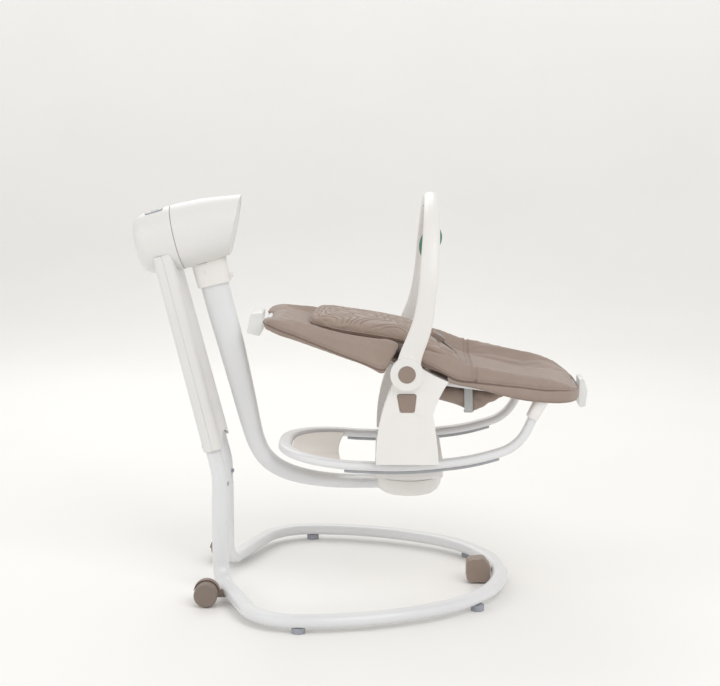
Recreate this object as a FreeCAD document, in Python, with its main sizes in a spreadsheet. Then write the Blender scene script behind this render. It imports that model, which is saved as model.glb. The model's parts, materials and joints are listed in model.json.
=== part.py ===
import FreeCAD, Part
import math
import os

from FreeCAD import Placement, Rotation, Vector

# Baby swing: an oval floor ring, a leaning column with a drive head, a curved swing arm with a
# turntable under the seat, and a lift-off rocker seat with a reclining back and a toy bar.
# Millimetres. +X points from the column to the foot end of the seat, +Y to its left, +Z up.
# The origin is on the floor under the middle of the whole object.

doc = FreeCAD.newDocument("BabySwing")

# ---------------------------------------------------------------- driving dimensions

SIZES = {
    # floor ring and legs: a flat-oval steel tube
    "tube_wide": 36.0, "tube_thin": 24.0, "tube_wall": 1.5, "ring_height": 24.5,
    "ring_front_x": 308.0, "ring_front_radius": 310.0, "ring_front_angle": 57.0,
    "ring_side_radius": 530.0, "ring_corner_radius": 118.0, "ring_corner_angle": 70.0,
    "ring_rear_run": 170.0, "leg_elbow_radius": 43.0, "leg_joint_height": 211.0,
    "foot_radius": 14.0, "foot_height": 12.4,
    # leaning column and its two-part cover
    "lean": 13.2, "column_lean": 14.1, "column_x": -318.0, "column_z": 315.0,
    "cover_depth": 43.0, "cover_foot_half": 84.5, "cover_head_half": 66.0, "cover_length": 432.0,
    "cover_wall": 2.5,
    # drive head
    "head_x": -394.8, "head_z": 769.0, "head_radius": 70.0, "head_wall": 2.8, "seam_gap": 1.6,
    "face_angle": 23.8, "face_along": 127.5, "shaft_radius": 8.0, "bearing_radius": 15.0,
    "gear_module": 1.5, "sector_teeth": 40.0, "pinion_teeth": 12.0, "gear_width": 7.0,
    # transport wheels
    "wheel_radius": 25.0, "wheel_width": 40.0, "axle_radius": 4.0, "floor_gap": 2.0,
    # hub under the seat
    "hub_x": 104.0, "hub_radius": 73.0, "hub_base_z": 206.0, "hub_deck_z": 247.0,
    "spindle_radius": 16.0, "turntable_thick": 11.0, "dock_radius": 52.0, "dock_height": 20.0,
    # rocker
    "rail_wide": 30.0, "rail_thin": 18.0, "rail_wall": 1.5, "rail_y": 164.0, "strip_thick": 5.5,
    "web_thick": 4.0, "loop_radius": 138.0,
    "pivot_x": 97.0, "pivot_z": 507.0, "panel_outer_y": 205.0, "panel_half_depth": 17.8,
    "panel_wall": 3.0, "frame_tube_radius": 7.0, "pivot_pin_radius": 7.0,
    # toy bar
    "bar_wide": 38.0, "bar_thin": 18.0, "bar_top_z": 855.0, "bar_half_span": 213.0,
    "bar_hub_radius": 34.0, "bar_button_radius": 17.5, "bar_hub_thick": 16.0,
    # moving clearances
    "gap": 0.6, "running_gap": 0.05,
}

sheet = doc.addObject("Spreadsheet::Sheet", "Sizes")
for row, (alias, value) in enumerate(SIZES.items(), start=2):
    sheet.set("A%d" % row, alias)
    sheet.set("B%d" % row, "%g" % value)
    sheet.setAlias("B%d" % row, alias)
doc.recompute()


def size(alias):
    """A driving dimension, read back from the sheet."""
    return float(sheet.get(alias))


NODES = []


def keep(item):
    """Marks a finished sub-part: its Label is the name of its file."""
    NODES.append(item)
    return item


# ---------------------------------------------------------------- places

GAP = size("gap")
LEAN = size("lean")
PIVOT = Vector(size("pivot_x"), 0, size("pivot_z"))
HUB_X = size("hub_x")
Y_OUT = Rotation(Vector(1, 0, 0), 90)
UPRIGHT = Rotation()
HEAD = Placement(Vector(size("head_x"), 0, size("head_z")), Rotation(Vector(0, 1, 0), -LEAN))
COLUMN_LEAN = size("column_lean")
COLUMN = Placement(Vector(size("column_x"), 0, size("column_z")), Rotation(Vector(0, 1, 0), -COLUMN_LEAN))
SIDES = (("left", 1), ("right", -1))


def at(x, y, z, rotation=UPRIGHT):
    return Placement(Vector(x, y, z), rotation)


# ---------------------------------------------------------------- shapes of wires

def polygon(points):
    """A closed wire of straight edges through 2D or 3D points."""
    corners = [Vector(*p) for p in points]
    return Part.makePolygon(corners + corners[:1])


def rounded(points, radii):
    """A wire of straight runs joined by tangent arcs: one radius for each inner point."""
    corners = [Vector(*p) for p in points]
    edges = []
    start = corners[0]
    for before, corner, after, radius in zip(corners, corners[1:], corners[2:], radii):
        back = (before - corner).normalize()
        ahead = (after - corner).normalize()
        half_turn = (math.pi - back.getAngle(ahead)) / 2
        reach = radius * math.tan(half_turn)
        middle = (back + ahead).normalize() * radius * (1 / math.cos(half_turn) - 1)
        first = corner + back * reach
        last = corner + ahead * reach
        edges.append(Part.makeLine(start, first))
        edges.append(Part.Arc(first, corner + middle, last).toShape())
        start = last
    edges.append(Part.makeLine(start, corners[-1]))
    return Part.Wire(edges)


def rounded_loop(points, radius):
    """A closed wire with every corner rounded to one radius."""
    corners = [Vector(*p) for p in points]
    count = len(corners)
    edges = []
    ends = []
    for i, corner in enumerate(corners):
        back = (corners[i - 1] - corner).normalize()
        ahead = (corners[(i + 1) % count] - corner).normalize()
        half_turn = (math.pi - back.getAngle(ahead)) / 2
        reach = radius * math.tan(half_turn)
        middle = (back + ahead).normalize() * radius * (1 / math.cos(half_turn) - 1)
        ends.append((corner + back * reach, corner + middle, corner + ahead * reach))
    for i, (first, middle, last) in enumerate(ends):
        edges.append(Part.Arc(first, middle, last).toShape())
        edges.append(Part.makeLine(last, ends[(i + 1) % count][0]))
    return Part.Wire(edges)


def flat_oval(centre, wide_dir, thin_dir, wide, thin):
    """A stadium outline: two straight sides joined by half circles of the thin size."""
    reach = (wide - thin) / 2
    end_a = centre + wide_dir * reach
    end_b = centre - wide_dir * reach
    side = thin_dir * (thin / 2)
    return Part.Wire([
        Part.makeLine(end_b + side, end_a + side),
        Part.Arc(end_a + side, end_a + wide_dir * (thin / 2), end_a - side).toShape(),
        Part.makeLine(end_a - side, end_b - side),
        Part.Arc(end_b - side, end_b - wide_dir * (thin / 2), end_b + side).toShape(),
    ])


def flat_tube(path, wide_dir, wide, thin, wall):
    """A hollow flat-oval tube along a path that starts at its first vertex."""
    first = path.Edges[0]
    start = first.valueAt(first.FirstParameter)
    along = first.tangentAt(first.FirstParameter)
    thin_dir = along.cross(wide_dir).normalize()
    outer = flat_oval(start, wide_dir, thin_dir, wide, thin)
    inner = flat_oval(start, wide_dir, thin_dir, wide - 2 * wall, thin - 2 * wall)
    return path.makePipeShell([outer], True, False).cut(path.makePipeShell([inner], True, False))


def round_tube(path, radius, wall):
    """A hollow round tube along a path."""
    first = path.Edges[0]
    start = first.valueAt(first.FirstParameter)
    along = first.tangentAt(first.FirstParameter)
    outer = Part.Wire([Part.makeCircle(radius, start, along)])
    inner = Part.Wire([Part.makeCircle(radius - wall, start, along)])
    return path.makePipeShell([outer], True, False).cut(path.makePipeShell([inner], True, False))


def oval_ring(centre, wide_dir, thin_dir, wide, thin, squareness=2.6, steps=24):
    """A smooth closed section between an ellipse and a rounded box, as one periodic curve."""
    points = []
    for i in range(steps):
        angle = 2 * math.pi * i / steps
        c, s = math.cos(angle), math.sin(angle)
        a = math.copysign(abs(c) ** (2 / squareness), c) * wide / 2
        b = math.copysign(abs(s) ** (2 / squareness), s) * thin / 2
        points.append(centre + wide_dir * a + thin_dir * b)
    curve = Part.BSplineCurve()
    curve.interpolate(points, PeriodicFlag=True)
    return Part.Wire([curve.toShape()])


def lofted_bar(stations):
    """A smooth bar through sections given as (centre, wide_dir, thin_dir, wide, thin)."""
    return Part.makeLoft([oval_ring(*station) for station in stations], True, False)


def smooth_table(points, count, knots=None):
    """Evenly spaced samples of a smooth curve through a few points, at given knots if any."""
    curve = Part.BSplineCurve()
    if knots:
        curve.interpolate(Points=[Vector(*p) for p in points], Parameters=knots)
    else:
        curve.interpolate([Vector(*p) for p in points])
    first, last = curve.FirstParameter, curve.LastParameter
    return [curve.value(first + (last - first) * i / (count - 1)) for i in range(count)]


def chord_knots(points):
    """Running chord lengths along a list of points."""
    knots = [0.0]
    for a, b in zip(points, points[1:]):
        knots.append(knots[-1] + (Vector(*b) - Vector(*a)).Length)
    return knots


def side_solid(outline, half_width):
    """A solid with one outline in the XZ plane, centred on the middle plane of the object."""
    face = Part.Face(outline)
    return face.extrude(Vector(0, 2 * half_width, 0)).translated(Vector(0, -half_width, 0))


def turned(profile):
    """A solid of revolution about X from (along, radius) points."""
    face = Part.Face(polygon([(u, 0, r) for u, r in profile]))
    return face.revolve(Vector(0, 0, 0), Vector(1, 0, 0), 360)


def mirrored(shape):
    """The same shape on the other side of the middle plane."""
    return shape.mirror(Vector(0, 0, 0), Vector(0, 1, 0))


# ---------------------------------------------------------------- document objects

def free_shape(label, shape, placement=None):
    """A sub-part whose Shape comes from Part's own functions."""
    item = doc.addObject("Part::Feature", label)
    item.Label = label
    item.Shape = shape.removeSplitter() if len(shape.Solids) == 1 else shape
    item.Placement = placement or Placement()
    return item


def cylinder(name, radius, height, placement):
    """A cylinder along its own Z; radius and height are expressions over the sheet."""
    item = doc.addObject("Part::Cylinder", name)
    item.setExpression("Radius", radius)
    item.setExpression("Height", height)
    item.Placement = placement
    return item


def group(label, items):
    """Identical separate solids that share one node."""
    item = doc.addObject("Part::Compound", label)
    item.Label = label
    item.Links = items
    return item


def origin_plane(body, role):
    return [f for f in body.Origin.OriginFeatures if f.Role == role][0]


def sketch_on(body, name, wire, role="XY_Plane", lift=0.0):
    """A sketch on an origin plane, filled with the edges of a wire drawn in the XY plane."""
    sketch = body.newObject("Sketcher::SketchObject", name)
    sketch.AttachmentSupport = [(origin_plane(body, role), "")]
    sketch.MapMode = "FlatFace"
    sketch.AttachmentOffset = at(0, 0, lift)
    for edge in wire.Edges:
        curve = edge.Curve
        if isinstance(curve, Part.Circle) and edge.isClosed():
            sketch.addGeometry(Part.Circle(curve.Center, Vector(0, 0, 1), curve.Radius), False)
        elif isinstance(curve, Part.Circle):
            middle = edge.valueAt((edge.FirstParameter + edge.LastParameter) / 2)
            ends = [edge.valueAt(edge.FirstParameter), middle, edge.valueAt(edge.LastParameter)]
            sketch.addGeometry(Part.Arc(*ends), False)
        else:
            ends = [edge.valueAt(edge.FirstParameter), edge.valueAt(edge.LastParameter)]
            sketch.addGeometry(Part.LineSegment(*ends), False)
    return sketch


def padded(label, wire, depth, placement, hollow=None):
    """A PartDesign body: an outline padded up from its XY plane.

    hollow = (inner wire, height of the pocket's floor, expression of its depth) cuts a recess
    that runs up from that height.
    """
    body = doc.addObject("PartDesign::Body", label)
    body.Label = label
    pad = body.newObject("PartDesign::Pad", label + "_pad")
    pad.Profile = sketch_on(body, label + "_outline", wire)
    pad.setExpression("Length", depth)
    if hollow:
        inner, floor, cut_depth = hollow
        pocket = body.newObject("PartDesign::Pocket", label + "_pocket")
        pocket.Profile = sketch_on(body, label + "_recess", inner, lift=floor)
        pocket.Reversed = True
        pocket.setExpression("Length", cut_depth)
    body.Placement = placement
    return body


def turned_body(label, profile, placement):
    """A PartDesign body: a profile of (radius, height) points turned about its own Z."""
    body = doc.addObject("PartDesign::Body", label)
    body.Label = label
    sketch = sketch_on(body, label + "_profile", polygon([(r, h, 0) for r, h in profile]), "XZ_Plane")
    turn = body.newObject("PartDesign::Revolution", label + "_turn")
    turn.Profile = sketch
    turn.ReferenceAxis = (sketch, ["V_Axis"])
    turn.Angle = 360.0
    body.Placement = placement
    return body


# ================================================================ stand: floor ring and legs

def ring_path():
    """The centre line of the base tube, from the top of the right leg round to the left leg."""
    height = size("ring_height")

    def bend(x, y, heading, radius, turn):
        """The middle and the end of a level arc; the heading turns from +Y towards -X."""
        places = []
        for part in (turn / 2, turn):
            a, b = math.radians(heading), math.radians(heading + part)
            across = radius * (math.cos(a) - math.cos(b))
            ahead = radius * (math.sin(b) - math.sin(a))
            places.append((x - across, y + ahead))
        return places

    front = size("ring_front_angle")
    corner = size("ring_corner_angle")
    nose = (size("ring_front_x"), 0.0)
    _, end_front = bend(*nose, 0, size("ring_front_radius"), front)
    mid_side, end_side = bend(*end_front, front, size("ring_side_radius"), 90 - front)
    mid_corner, end_corner = bend(*end_side, 90, size("ring_corner_radius"), corner)
    heading = math.radians(90 + corner)
    back = Vector(-math.sin(heading), math.cos(heading), 0)
    corner_point = Vector(*end_corner, height)
    elbow_start = corner_point + back * size("ring_rear_run")
    radius = size("leg_elbow_radius")
    elbow_end = elbow_start + back * radius + Vector(0, 0, radius)
    slant = radius * math.sqrt(0.5)
    elbow_middle = elbow_start + back * slant + Vector(0, 0, radius - slant)
    leg_top = Vector(elbow_end.x, elbow_end.y, size("leg_joint_height"))

    def lift(point):
        return Vector(point[0], point[1], height)

    half = [
        Part.Arc(lift(end_front), lift(mid_side), lift(end_side)).toShape(),
        Part.Arc(lift(end_side), lift(mid_corner), corner_point).toShape(),
        Part.makeLine(corner_point, elbow_start),
        Part.Arc(elbow_start, elbow_middle, elbow_end).toShape(),
        Part.makeLine(elbow_end, leg_top),
    ]
    other = [mirrored(edge) for edge in half]
    flip = Vector(end_front[0], -end_front[1], height)
    nose_arc = Part.Arc(flip, lift(nose), lift(end_front)).toShape()
    path = Part.Wire(Part.__sortEdges__(other + [nose_arc] + half))
    return path, leg_top, back, lift(end_side)


RING_PATH, LEG_TOP, REAR_DIR, RING_WIDEST = ring_path()
LEG_Y = LEG_TOP.y


def base_tube():
    path = RING_PATH
    start = path.OrderedEdges[0]
    corner = path.OrderedVertexes[0].Point
    wide_dir = Vector(-REAR_DIR.y, REAR_DIR.x, 0)
    if corner.y < 0:
        wide_dir = Vector(-REAR_DIR.y, -REAR_DIR.x, 0)
    thin_dir = Vector(0, 0, 1).cross(wide_dir).normalize()
    wide, thin, wall = size("tube_wide"), size("tube_thin"), size("tube_wall")
    outer = flat_oval(corner, wide_dir, thin_dir, wide, thin)
    inner = flat_oval(corner, wide_dir, thin_dir, wide - 2 * wall, thin - 2 * wall)
    ordered = Part.Wire(path.OrderedEdges)
    shape = ordered.makePipeShell([outer], True, False).cut(ordered.makePipeShell([inner], True, False))
    return keep(free_shape("base_tube", shape))


base_tube()


def upper_legs():
    """Two tubes that stand in the base tube and lean back and together inside the column."""
    bend_z = 262.0
    rise = 380.0
    top_x = size("column_x") - math.tan(math.radians(COLUMN_LEAN)) * rise
    for side, sign in SIDES:
        foot = Vector(LEG_TOP.x, sign * LEG_Y, LEG_TOP.z)
        bend = Vector(LEG_TOP.x, sign * LEG_Y, bend_z)
        top_y = size("cover_head_half") - 18.0
        top = Vector(top_x, sign * top_y, size("column_z") + rise)
        path = rounded([foot, bend, top], [150])
        wide_dir = Vector(-REAR_DIR.y, sign * REAR_DIR.x, 0)
        shape = flat_tube(path, wide_dir, size("tube_wide") - 2, size("tube_thin"), size("tube_wall"))
        keep(free_shape("upper_leg_" + side, shape))


upper_legs()


def leg_buttons():
    """Spring buttons that lock the upper legs, in the front of each tube just above the joint."""
    for side, sign in SIDES:
        front = Vector(-REAR_DIR.y, sign * REAR_DIR.x, 0).normalize()
        centre = Vector(LEG_TOP.x, sign * LEG_Y, LEG_TOP.z + 27)
        reach = size("tube_wide") / 2 - 1
        start = centre + front * (reach - 8)
        button = Part.makeCylinder(4.6, 10.5, start, front)
        dome = Part.makeSphere(4.6, start + front * 8.6)
        button = button.common(dome.fuse(Part.makeCylinder(4.6, 8.6, start, front)))
        keep(free_shape("leg_button_" + side, button))
        hole = Part.makeCylinder(4.66, 12, start + front * 2, front)
        leg = [n for n in NODES if n.Label == "upper_leg_" + side][0]
        leg.Shape = leg.Shape.cut(hole)


leg_buttons()


def base_feet():
    """Four rubber feet under the widest and the front parts of the ring."""
    feet = []
    front_x, front_y = 248.0, 197.0
    for name, x, y in (("rear", RING_WIDEST.x, RING_WIDEST.y), ("front", front_x, front_y)):
        for side, sign in SIDES:
            place = at(x, sign * y, 0)
            label = "foot_%s_%s" % (name, side)
            feet.append(cylinder(label, "Sizes.foot_radius", "Sizes.foot_height", place))
    return keep(group("base_feet", feet))


base_feet()


# ================================================================ stand: column and head

def cover_loft(inset):
    """The column's outer form, or its hollow when inset, in the column's own frame."""
    depth = size("cover_depth") / 2 - inset
    radius = 13.0 - inset
    wires = []
    for height, half in ((0.0, size("cover_foot_half")), (size("cover_length"), size("cover_head_half"))):
        y = half - inset
        corners = [(-depth, -y, height), (depth, -y, height), (depth, y, height), (-depth, y, height)]
        wires.append(rounded_loop(corners, radius))
    return Part.makeLoft(wires, True, True)


def column_covers():
    wall = size("cover_wall")
    shell = cover_loft(0).cut(cover_loft(wall))
    reach = 600.0
    half_space = Part.makeBox(reach, reach, reach, Vector(0, -reach / 2, -reach / 4))
    seam = 0.15
    front = shell.common(half_space.translated(Vector(seam, 0, 0)))
    rear = shell.common(half_space.translated(Vector(-reach - seam, 0, 0)))
    # the foot of the cover is scooped up between the legs
    scoop = Part.makeCylinder(150, 200, Vector(-100, 0, -128), Vector(1, 0, 0))
    # inside the head only the two sides of the cover go on, beside the drive
    crown = Part.makeBox(60, 90, 60, Vector(-30, -45, size("cover_length") - 18))
    keep(free_shape("column_front_cover", front.cut([scoop, crown]), COLUMN))
    keep(free_shape("column_rear_cover", rear.cut([scoop, crown]), COLUMN))


column_covers()


def housing_screws():
    """Countersunk screws at the foot of the rear column cover."""
    screws = []
    for side, sign in SIDES:
        screw_y = sign * (size("cover_foot_half") - 18)
        start = COLUMN.multVec(Vector(-size("cover_depth") / 2 - 0.8, screw_y, 12))
        inward = COLUMN.Rotation.multVec(Vector(1, 0, 0))
        place = Placement(start, Rotation(Vector(0, 0, 1), inward))
        head = doc.addObject("Part::Cone", "screw_%s" % side)
        head.Radius1 = 4.0
        head.Radius2 = 2.2
        head.Height = 3.1
        head.Placement = place
        screws.append(head)
    cover = [n for n in NODES if n.Label == "column_rear_cover"][0]
    seats = []
    for screw in screws:
        inward = screw.Placement.Rotation.multVec(Vector(0, 0, 1))
        seats.append(Part.makeCone(4.2, 2.4, 3.3, screw.Placement.Base, inward))
    cut = cover.Shape.cut(seats)
    cover.Placement = Placement()
    cover.Shape = cut
    return keep(group("housing_screws", screws))


housing_screws()

HEAD_OUTLINE = [(-89.0, 0.0), (-89.0, 44.0), (-86.5, 52.0), (-80.0, 59.0), (-70.0, 64.0),
                (-50.0, 68.0), (-25.0, 69.6), (0.0, 70.0), (30.0, 70.4), (62.0, 69.4),
                (98.0, 66.0), (130.0, 61.5), (165.0, 56.0)]


def head_profile(start, end, inset):
    """The head's (along, radius) outline between two places, moved in by a wall."""
    points = [(u + (inset if u < -80 else 0), r - (inset if r > 0 else 0)) for u, r in HEAD_OUTLINE]

    def radius(u):
        for (ua, ra), (ub, rb) in zip(points, points[1:]):
            if ua < ub and ua <= u <= ub:
                return ra + (rb - ra) * (u - ua) / (ub - ua)
        return points[-1][1]

    inner = [(u, r) for u, r in points if start < u < end]
    first = [] if start <= -89 else [(start, 0.0), (start, radius(start))]
    if start <= -89:
        first = [points[0]] if inner and inner[0] != points[0] else []
    profile = first + inner + [(end, radius(end)), (end, 0.0)]
    return profile


def drum(start, end, inset):
    return turned(head_profile(start, end, inset))


def face_cut(offset):
    """A big box whose back lies on the slanted front face, moved along the face's normal."""
    reach = 260.0
    box = Part.makeBox(reach, reach, reach, Vector(0, -reach / 2, -reach / 2))
    slant = Rotation(Vector(0, 1, 0), size("face_angle"))
    box.Placement = Placement(Vector(size("face_along"), 0, -3.0), slant)
    return box.translated(box.Placement.Rotation.multVec(Vector(offset, 0, 0)))


PANEL_BUTTONS = {"power_button": Vector(-2, -13, 0), "speed_dial": Vector(-1, 7, 0)}
PANEL_PLACE = Placement(Vector(-35, 0, 64.8), Rotation(Vector(0, 1, 0), -4.5))


def control_panel_slab(inset, bottom, top):
    """A flat slab let into the top of the head's fixed half, in the head's own frame."""
    wide, long = 26.0 - inset, 21.0 - inset
    corners = [(-long, -wide, 0), (long, -wide, 0), (long, wide, 0), (-long, wide, 0)]
    slab = Part.Face(rounded_loop(corners, 9.0 - inset / 2)).extrude(Vector(0, 0, top - bottom))
    slab.Placement = PANEL_PLACE
    return slab.translated(PANEL_PLACE.Rotation.multVec(Vector(0, 0, bottom)))


def head_shells():
    wall = size("head_wall")
    half_gap = size("seam_gap") / 2
    rear = drum(-89.0, -half_gap, 0).cut(drum(-89.0, 10, wall))
    lip_radius = size("head_radius") - wall - 0.7
    lip = Part.makeCylinder(lip_radius, 12, Vector(-8, 0, 0), Vector(1, 0, 0))
    lip = lip.cut(Part.makeCylinder(lip_radius - 2.4, 14, Vector(-9, 0, 0), Vector(1, 0, 0)))
    bridge = Part.makeCylinder(lip_radius + 1.2, 4, Vector(-8, 0, 0), Vector(1, 0, 0))
    bridge = bridge.cut(Part.makeCylinder(lip_radius - 2.4, 6, Vector(-9, 0, 0), Vector(1, 0, 0)))
    rear = rear.fuse([lip, bridge])
    opening = cover_loft(-0.15)
    opening.Placement = HEAD.inverse().multiply(COLUMN)
    seat = control_panel_slab(0, -1.5, 12)
    window = control_panel_slab(4, -12, 2)
    socket_hole = Part.makeCylinder(5.6, 12, Vector(-92, 0, -38), Vector(1, 0, 0))
    rear = rear.cut([opening, seat, window, socket_hole])
    keep(free_shape("head_rear_shell", rear, HEAD))

    front = drum(half_gap, 165, 0).cut([drum(-2, 165, wall), face_cut(0)])
    # socket opening for the arm, and the inner wall that carries the shaft
    neck = Part.makeBox(74, 50, 60, Vector(30, -25, -90))
    neck = neck.cut(Part.makeBox(200, 60, 60, Vector(-20, -30, -60)))
    bulkhead = drum(46, 50, wall - 0.2)
    bulkhead = bulkhead.cut(Part.makeCylinder(size("shaft_radius"), 40, Vector(30, 0, 0), Vector(1, 0, 0)))
    front = front.fuse(bulkhead).cut([neck, arm_socket_form(0.1)])
    keep(free_shape("head_front_shell", front, HEAD))

    cap = drum(40, 165, wall + 0.05).common(face_cut(-4.5)).cut(face_cut(-1.2))
    keep(free_shape("head_front_cap", cap, HEAD))


ARM = [
    # along X, height, width in the side view, width across
    (-326.0, 704.0, 60.0, 35.0), (-308.5, 632.0, 60.5, 36.0), (-285.5, 544.0, 57.5, 38.0),
    (-264.0, 456.0, 51.5, 41.0), (-243.0, 366.0, 44.0, 45.0), (-230.0, 320.0, 39.5, 48.0),
    (-209.0, 283.0, 37.0, 50.0), (-177.0, 258.5, 34.5, 53.0), (-122.0, 240.0, 30.5, 56.0),
    (-59.0, 231.5, 27.5, 58.0), (20.0, 230.0, 25.5, 60.0), (70.0, 230.0, 25.5, 60.0),
]


SOCKET = [
    # along X, height, width in the side view, width across
    (-334.0, 742.0, 76.0, 46.0), (-326.0, 704.0, 75.0, 46.0), (-317.0, 667.0, 72.0, 45.0),
]


def arm_sections(grow=0.0):
    line = [(x, 0, z) for x, z, _, _ in ARM]
    knots = chord_knots(line)
    centres = smooth_table(line, 45, knots)
    widths = smooth_table([(w, y, i) for i, (_, _, w, y) in enumerate(ARM)], 45, knots)
    stations = []
    for i, (centre, width) in enumerate(zip(centres, widths)):
        ahead = (centres[min(i + 1, 44)] - centres[max(i - 1, 0)]).normalize()
        side = Vector(0, 1, 0)
        stations.append((centre, ahead.cross(side), side, width.x + grow, width.y + grow))
    return stations


def arm_socket_form(grow=0.0):
    """The outside of the socket, in the head's frame: a tapered sleeve round the top of the arm."""
    inverse = HEAD.inverse()
    stations = []
    for x, z, wide, across in SOCKET:
        centre = inverse.multVec(Vector(x, 0, z))
        stations.append((centre, Vector(1, 0, 0), Vector(0, 1, 0), wide + 2 * grow, across + 2 * grow, 4.0))
    return Part.makeLoft([oval_ring(*station) for station in stations], True, False)


head_shells()


def arm_socket():
    bore = lofted_bar(arm_sections(0.3))
    bore.Placement = HEAD.inverse().multiply(bore.Placement)
    bulkhead_back = Part.makeBox(60, 100, 90, Vector(-10, -50, -66))
    button_hole = Part.makeCylinder(5.1, 60, HEAD.inverse().multVec(Vector(-318, 0, 679)), Vector(1, 0, 0))
    recess = Part.makeCylinder(4.5, 3, HEAD.inverse().multVec(Vector(-339, -24.5, 693)), Vector(0, 1, 0))
    ceiling = Part.makeBox(200, 200, 100, Vector(-50, -100, -34))
    shape = arm_socket_form().cut([bore, bulkhead_back, button_hole, recess, ceiling])
    keep(free_shape("arm_socket", shape, HEAD))

    start = HEAD.inverse().multVec(Vector(-318, 0, 679))
    button = Part.makeCylinder(5.0, 12.4, start + Vector(29.5, 0, 0), Vector(1, 0, 0))
    keep(free_shape("arm_release_button", button, HEAD))
    return start


BUTTON_START = arm_socket()


def swing_arm():
    inside = lofted_bar(arm_sections(-6.4))
    middle = Part.makeBox(500, 100, 470, Vector(-450, -50, 215))
    shape = lofted_bar(arm_sections()).cut(inside.common(middle))
    hole = Part.makeCylinder(5.15, 14, BUTTON_START + Vector(26, 0, 0), Vector(1, 0, 0))
    hole.Placement = HEAD.multiply(hole.Placement)
    keep(free_shape("swing_arm", shape.cut(hole)))


swing_arm()


def gear_outline(teeth, backlash, first=0, count=None, phase=0.0):
    """The (angle, radius) points of involute teeth, from tooth `first` for `count` teeth."""
    module = size("gear_module")
    pitch = module * teeth / 2
    base = pitch * math.cos(math.radians(20))
    tip = pitch + module * 0.9
    root = pitch - module * 1.25
    half = math.pi / (2 * teeth) - backlash / (2 * pitch)

    def involute(radius):
        ratio = math.sqrt(max(radius * radius / base / base - 1, 0))
        return ratio - math.atan(ratio)

    low = max(base, root)
    radii = [low + (tip - low) * i / 5 for i in range(6)]
    points = []
    for tooth in range(first, first + (count or teeth)):
        middle = 2 * math.pi * tooth / teeth + phase
        flank = [(half + involute(pitch) - involute(r), r) for r in radii]
        points.append((middle - flank[0][0], root))
        points += [(middle - a, r) for a, r in flank]
        points += [(middle + a, r) for a, r in reversed(flank)]
        points.append((middle + flank[0][0], root))
    return points


def gears_and_shaft():
    """The sector gear on the swing shaft, the motor's pinion, and the fixed parts round them."""
    module = size("gear_module")
    teeth = int(size("sector_teeth"))
    small = int(size("pinion_teeth"))
    width = size("gear_width")
    distance = module * (teeth + small) / 2
    radius = size("shaft_radius")

    def spun(points, at_u):
        ring = [Vector(at_u, r * math.sin(a), r * math.cos(a)) for a, r in points]
        return Part.Face(Part.makePolygon(ring + ring[:1])).extrude(Vector(width, 0, 0))

    spread = 5
    sector_teeth = gear_outline(teeth, 0.35, -spread, 2 * spread + 1)
    hub_points = [(sector_teeth[-1][0] + 0.05, 14.0)]
    hub_points += [(sector_teeth[-1][0] + 0.05 + 0.35 * i, 13.5) for i in range(1, 13)]
    hub_points = [p for p in hub_points if p[0] < sector_teeth[0][0] + 2 * math.pi - 0.05]
    sector = spun(sector_teeth + hub_points + [(sector_teeth[0][0] - 0.05, 14.0)], -31.0)
    sector = sector.cut(Part.makeCylinder(radius, 40, Vector(-50, 0, 0), Vector(1, 0, 0)))
    keep(free_shape("sector_gear", sector, HEAD))

    pinion = spun(gear_outline(small, 0.35, 0, small, math.pi / small), -32.0)
    pinion = pinion.fuse(Part.makeCylinder(2.5, 10, Vector(-41, 0, 0), Vector(1, 0, 0)))
    pinion.translate(Vector(0, 0, distance))
    keep(free_shape("motor_pinion", pinion, HEAD))

    shaft = Part.makeCylinder(radius, 132, Vector(-72, 0, 0), Vector(1, 0, 0))
    shaft = shaft.fuse(Part.makeCylinder(17, 5, Vector(50, 0, 0), Vector(1, 0, 0)))
    keep(free_shape("swing_shaft", shaft, HEAD))

    motor = Part.makeCylinder(17, 24, Vector(-60.5, 0, distance), Vector(1, 0, 0))
    motor = motor.cut(Part.makeCylinder(2.55, 12, Vector(-46, 0, distance), Vector(1, 0, 0)))
    keep(free_shape("drive_motor", motor, HEAD))

    bearing_radius = size("bearing_radius")
    bore = radius + size("running_gap")
    plates = []
    rings = []
    for u in (-66.0, -8.0):
        half = 29.0
        plate = Part.makeBox(4, 2 * half, 64, Vector(u, -half, -40))
        plates.append(plate)
        ring = Part.makeCylinder(bearing_radius, 7, Vector(u - 1.5, 0, 0), Vector(1, 0, 0))
        rings.append(ring.cut(Part.makeCylinder(bore, 9, Vector(u - 2.5, 0, 0), Vector(1, 0, 0))))
    web = Part.makeBox(62, 58, 4, Vector(-66, -29, -40))
    chassis = plates[0].fuse([plates[1], web])
    cuts = [Part.makeCylinder(bearing_radius, 90, Vector(-80, 0, 0), Vector(1, 0, 0))]
    cuts.append(Part.makeBox(12, 60, 40, Vector(-12, -30, 16)))
    keep(free_shape("motor_chassis", chassis.cut(cuts), HEAD))
    keep(free_shape("swing_bearings", Part.makeCompound(rings), HEAD))


gears_and_shaft()


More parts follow.
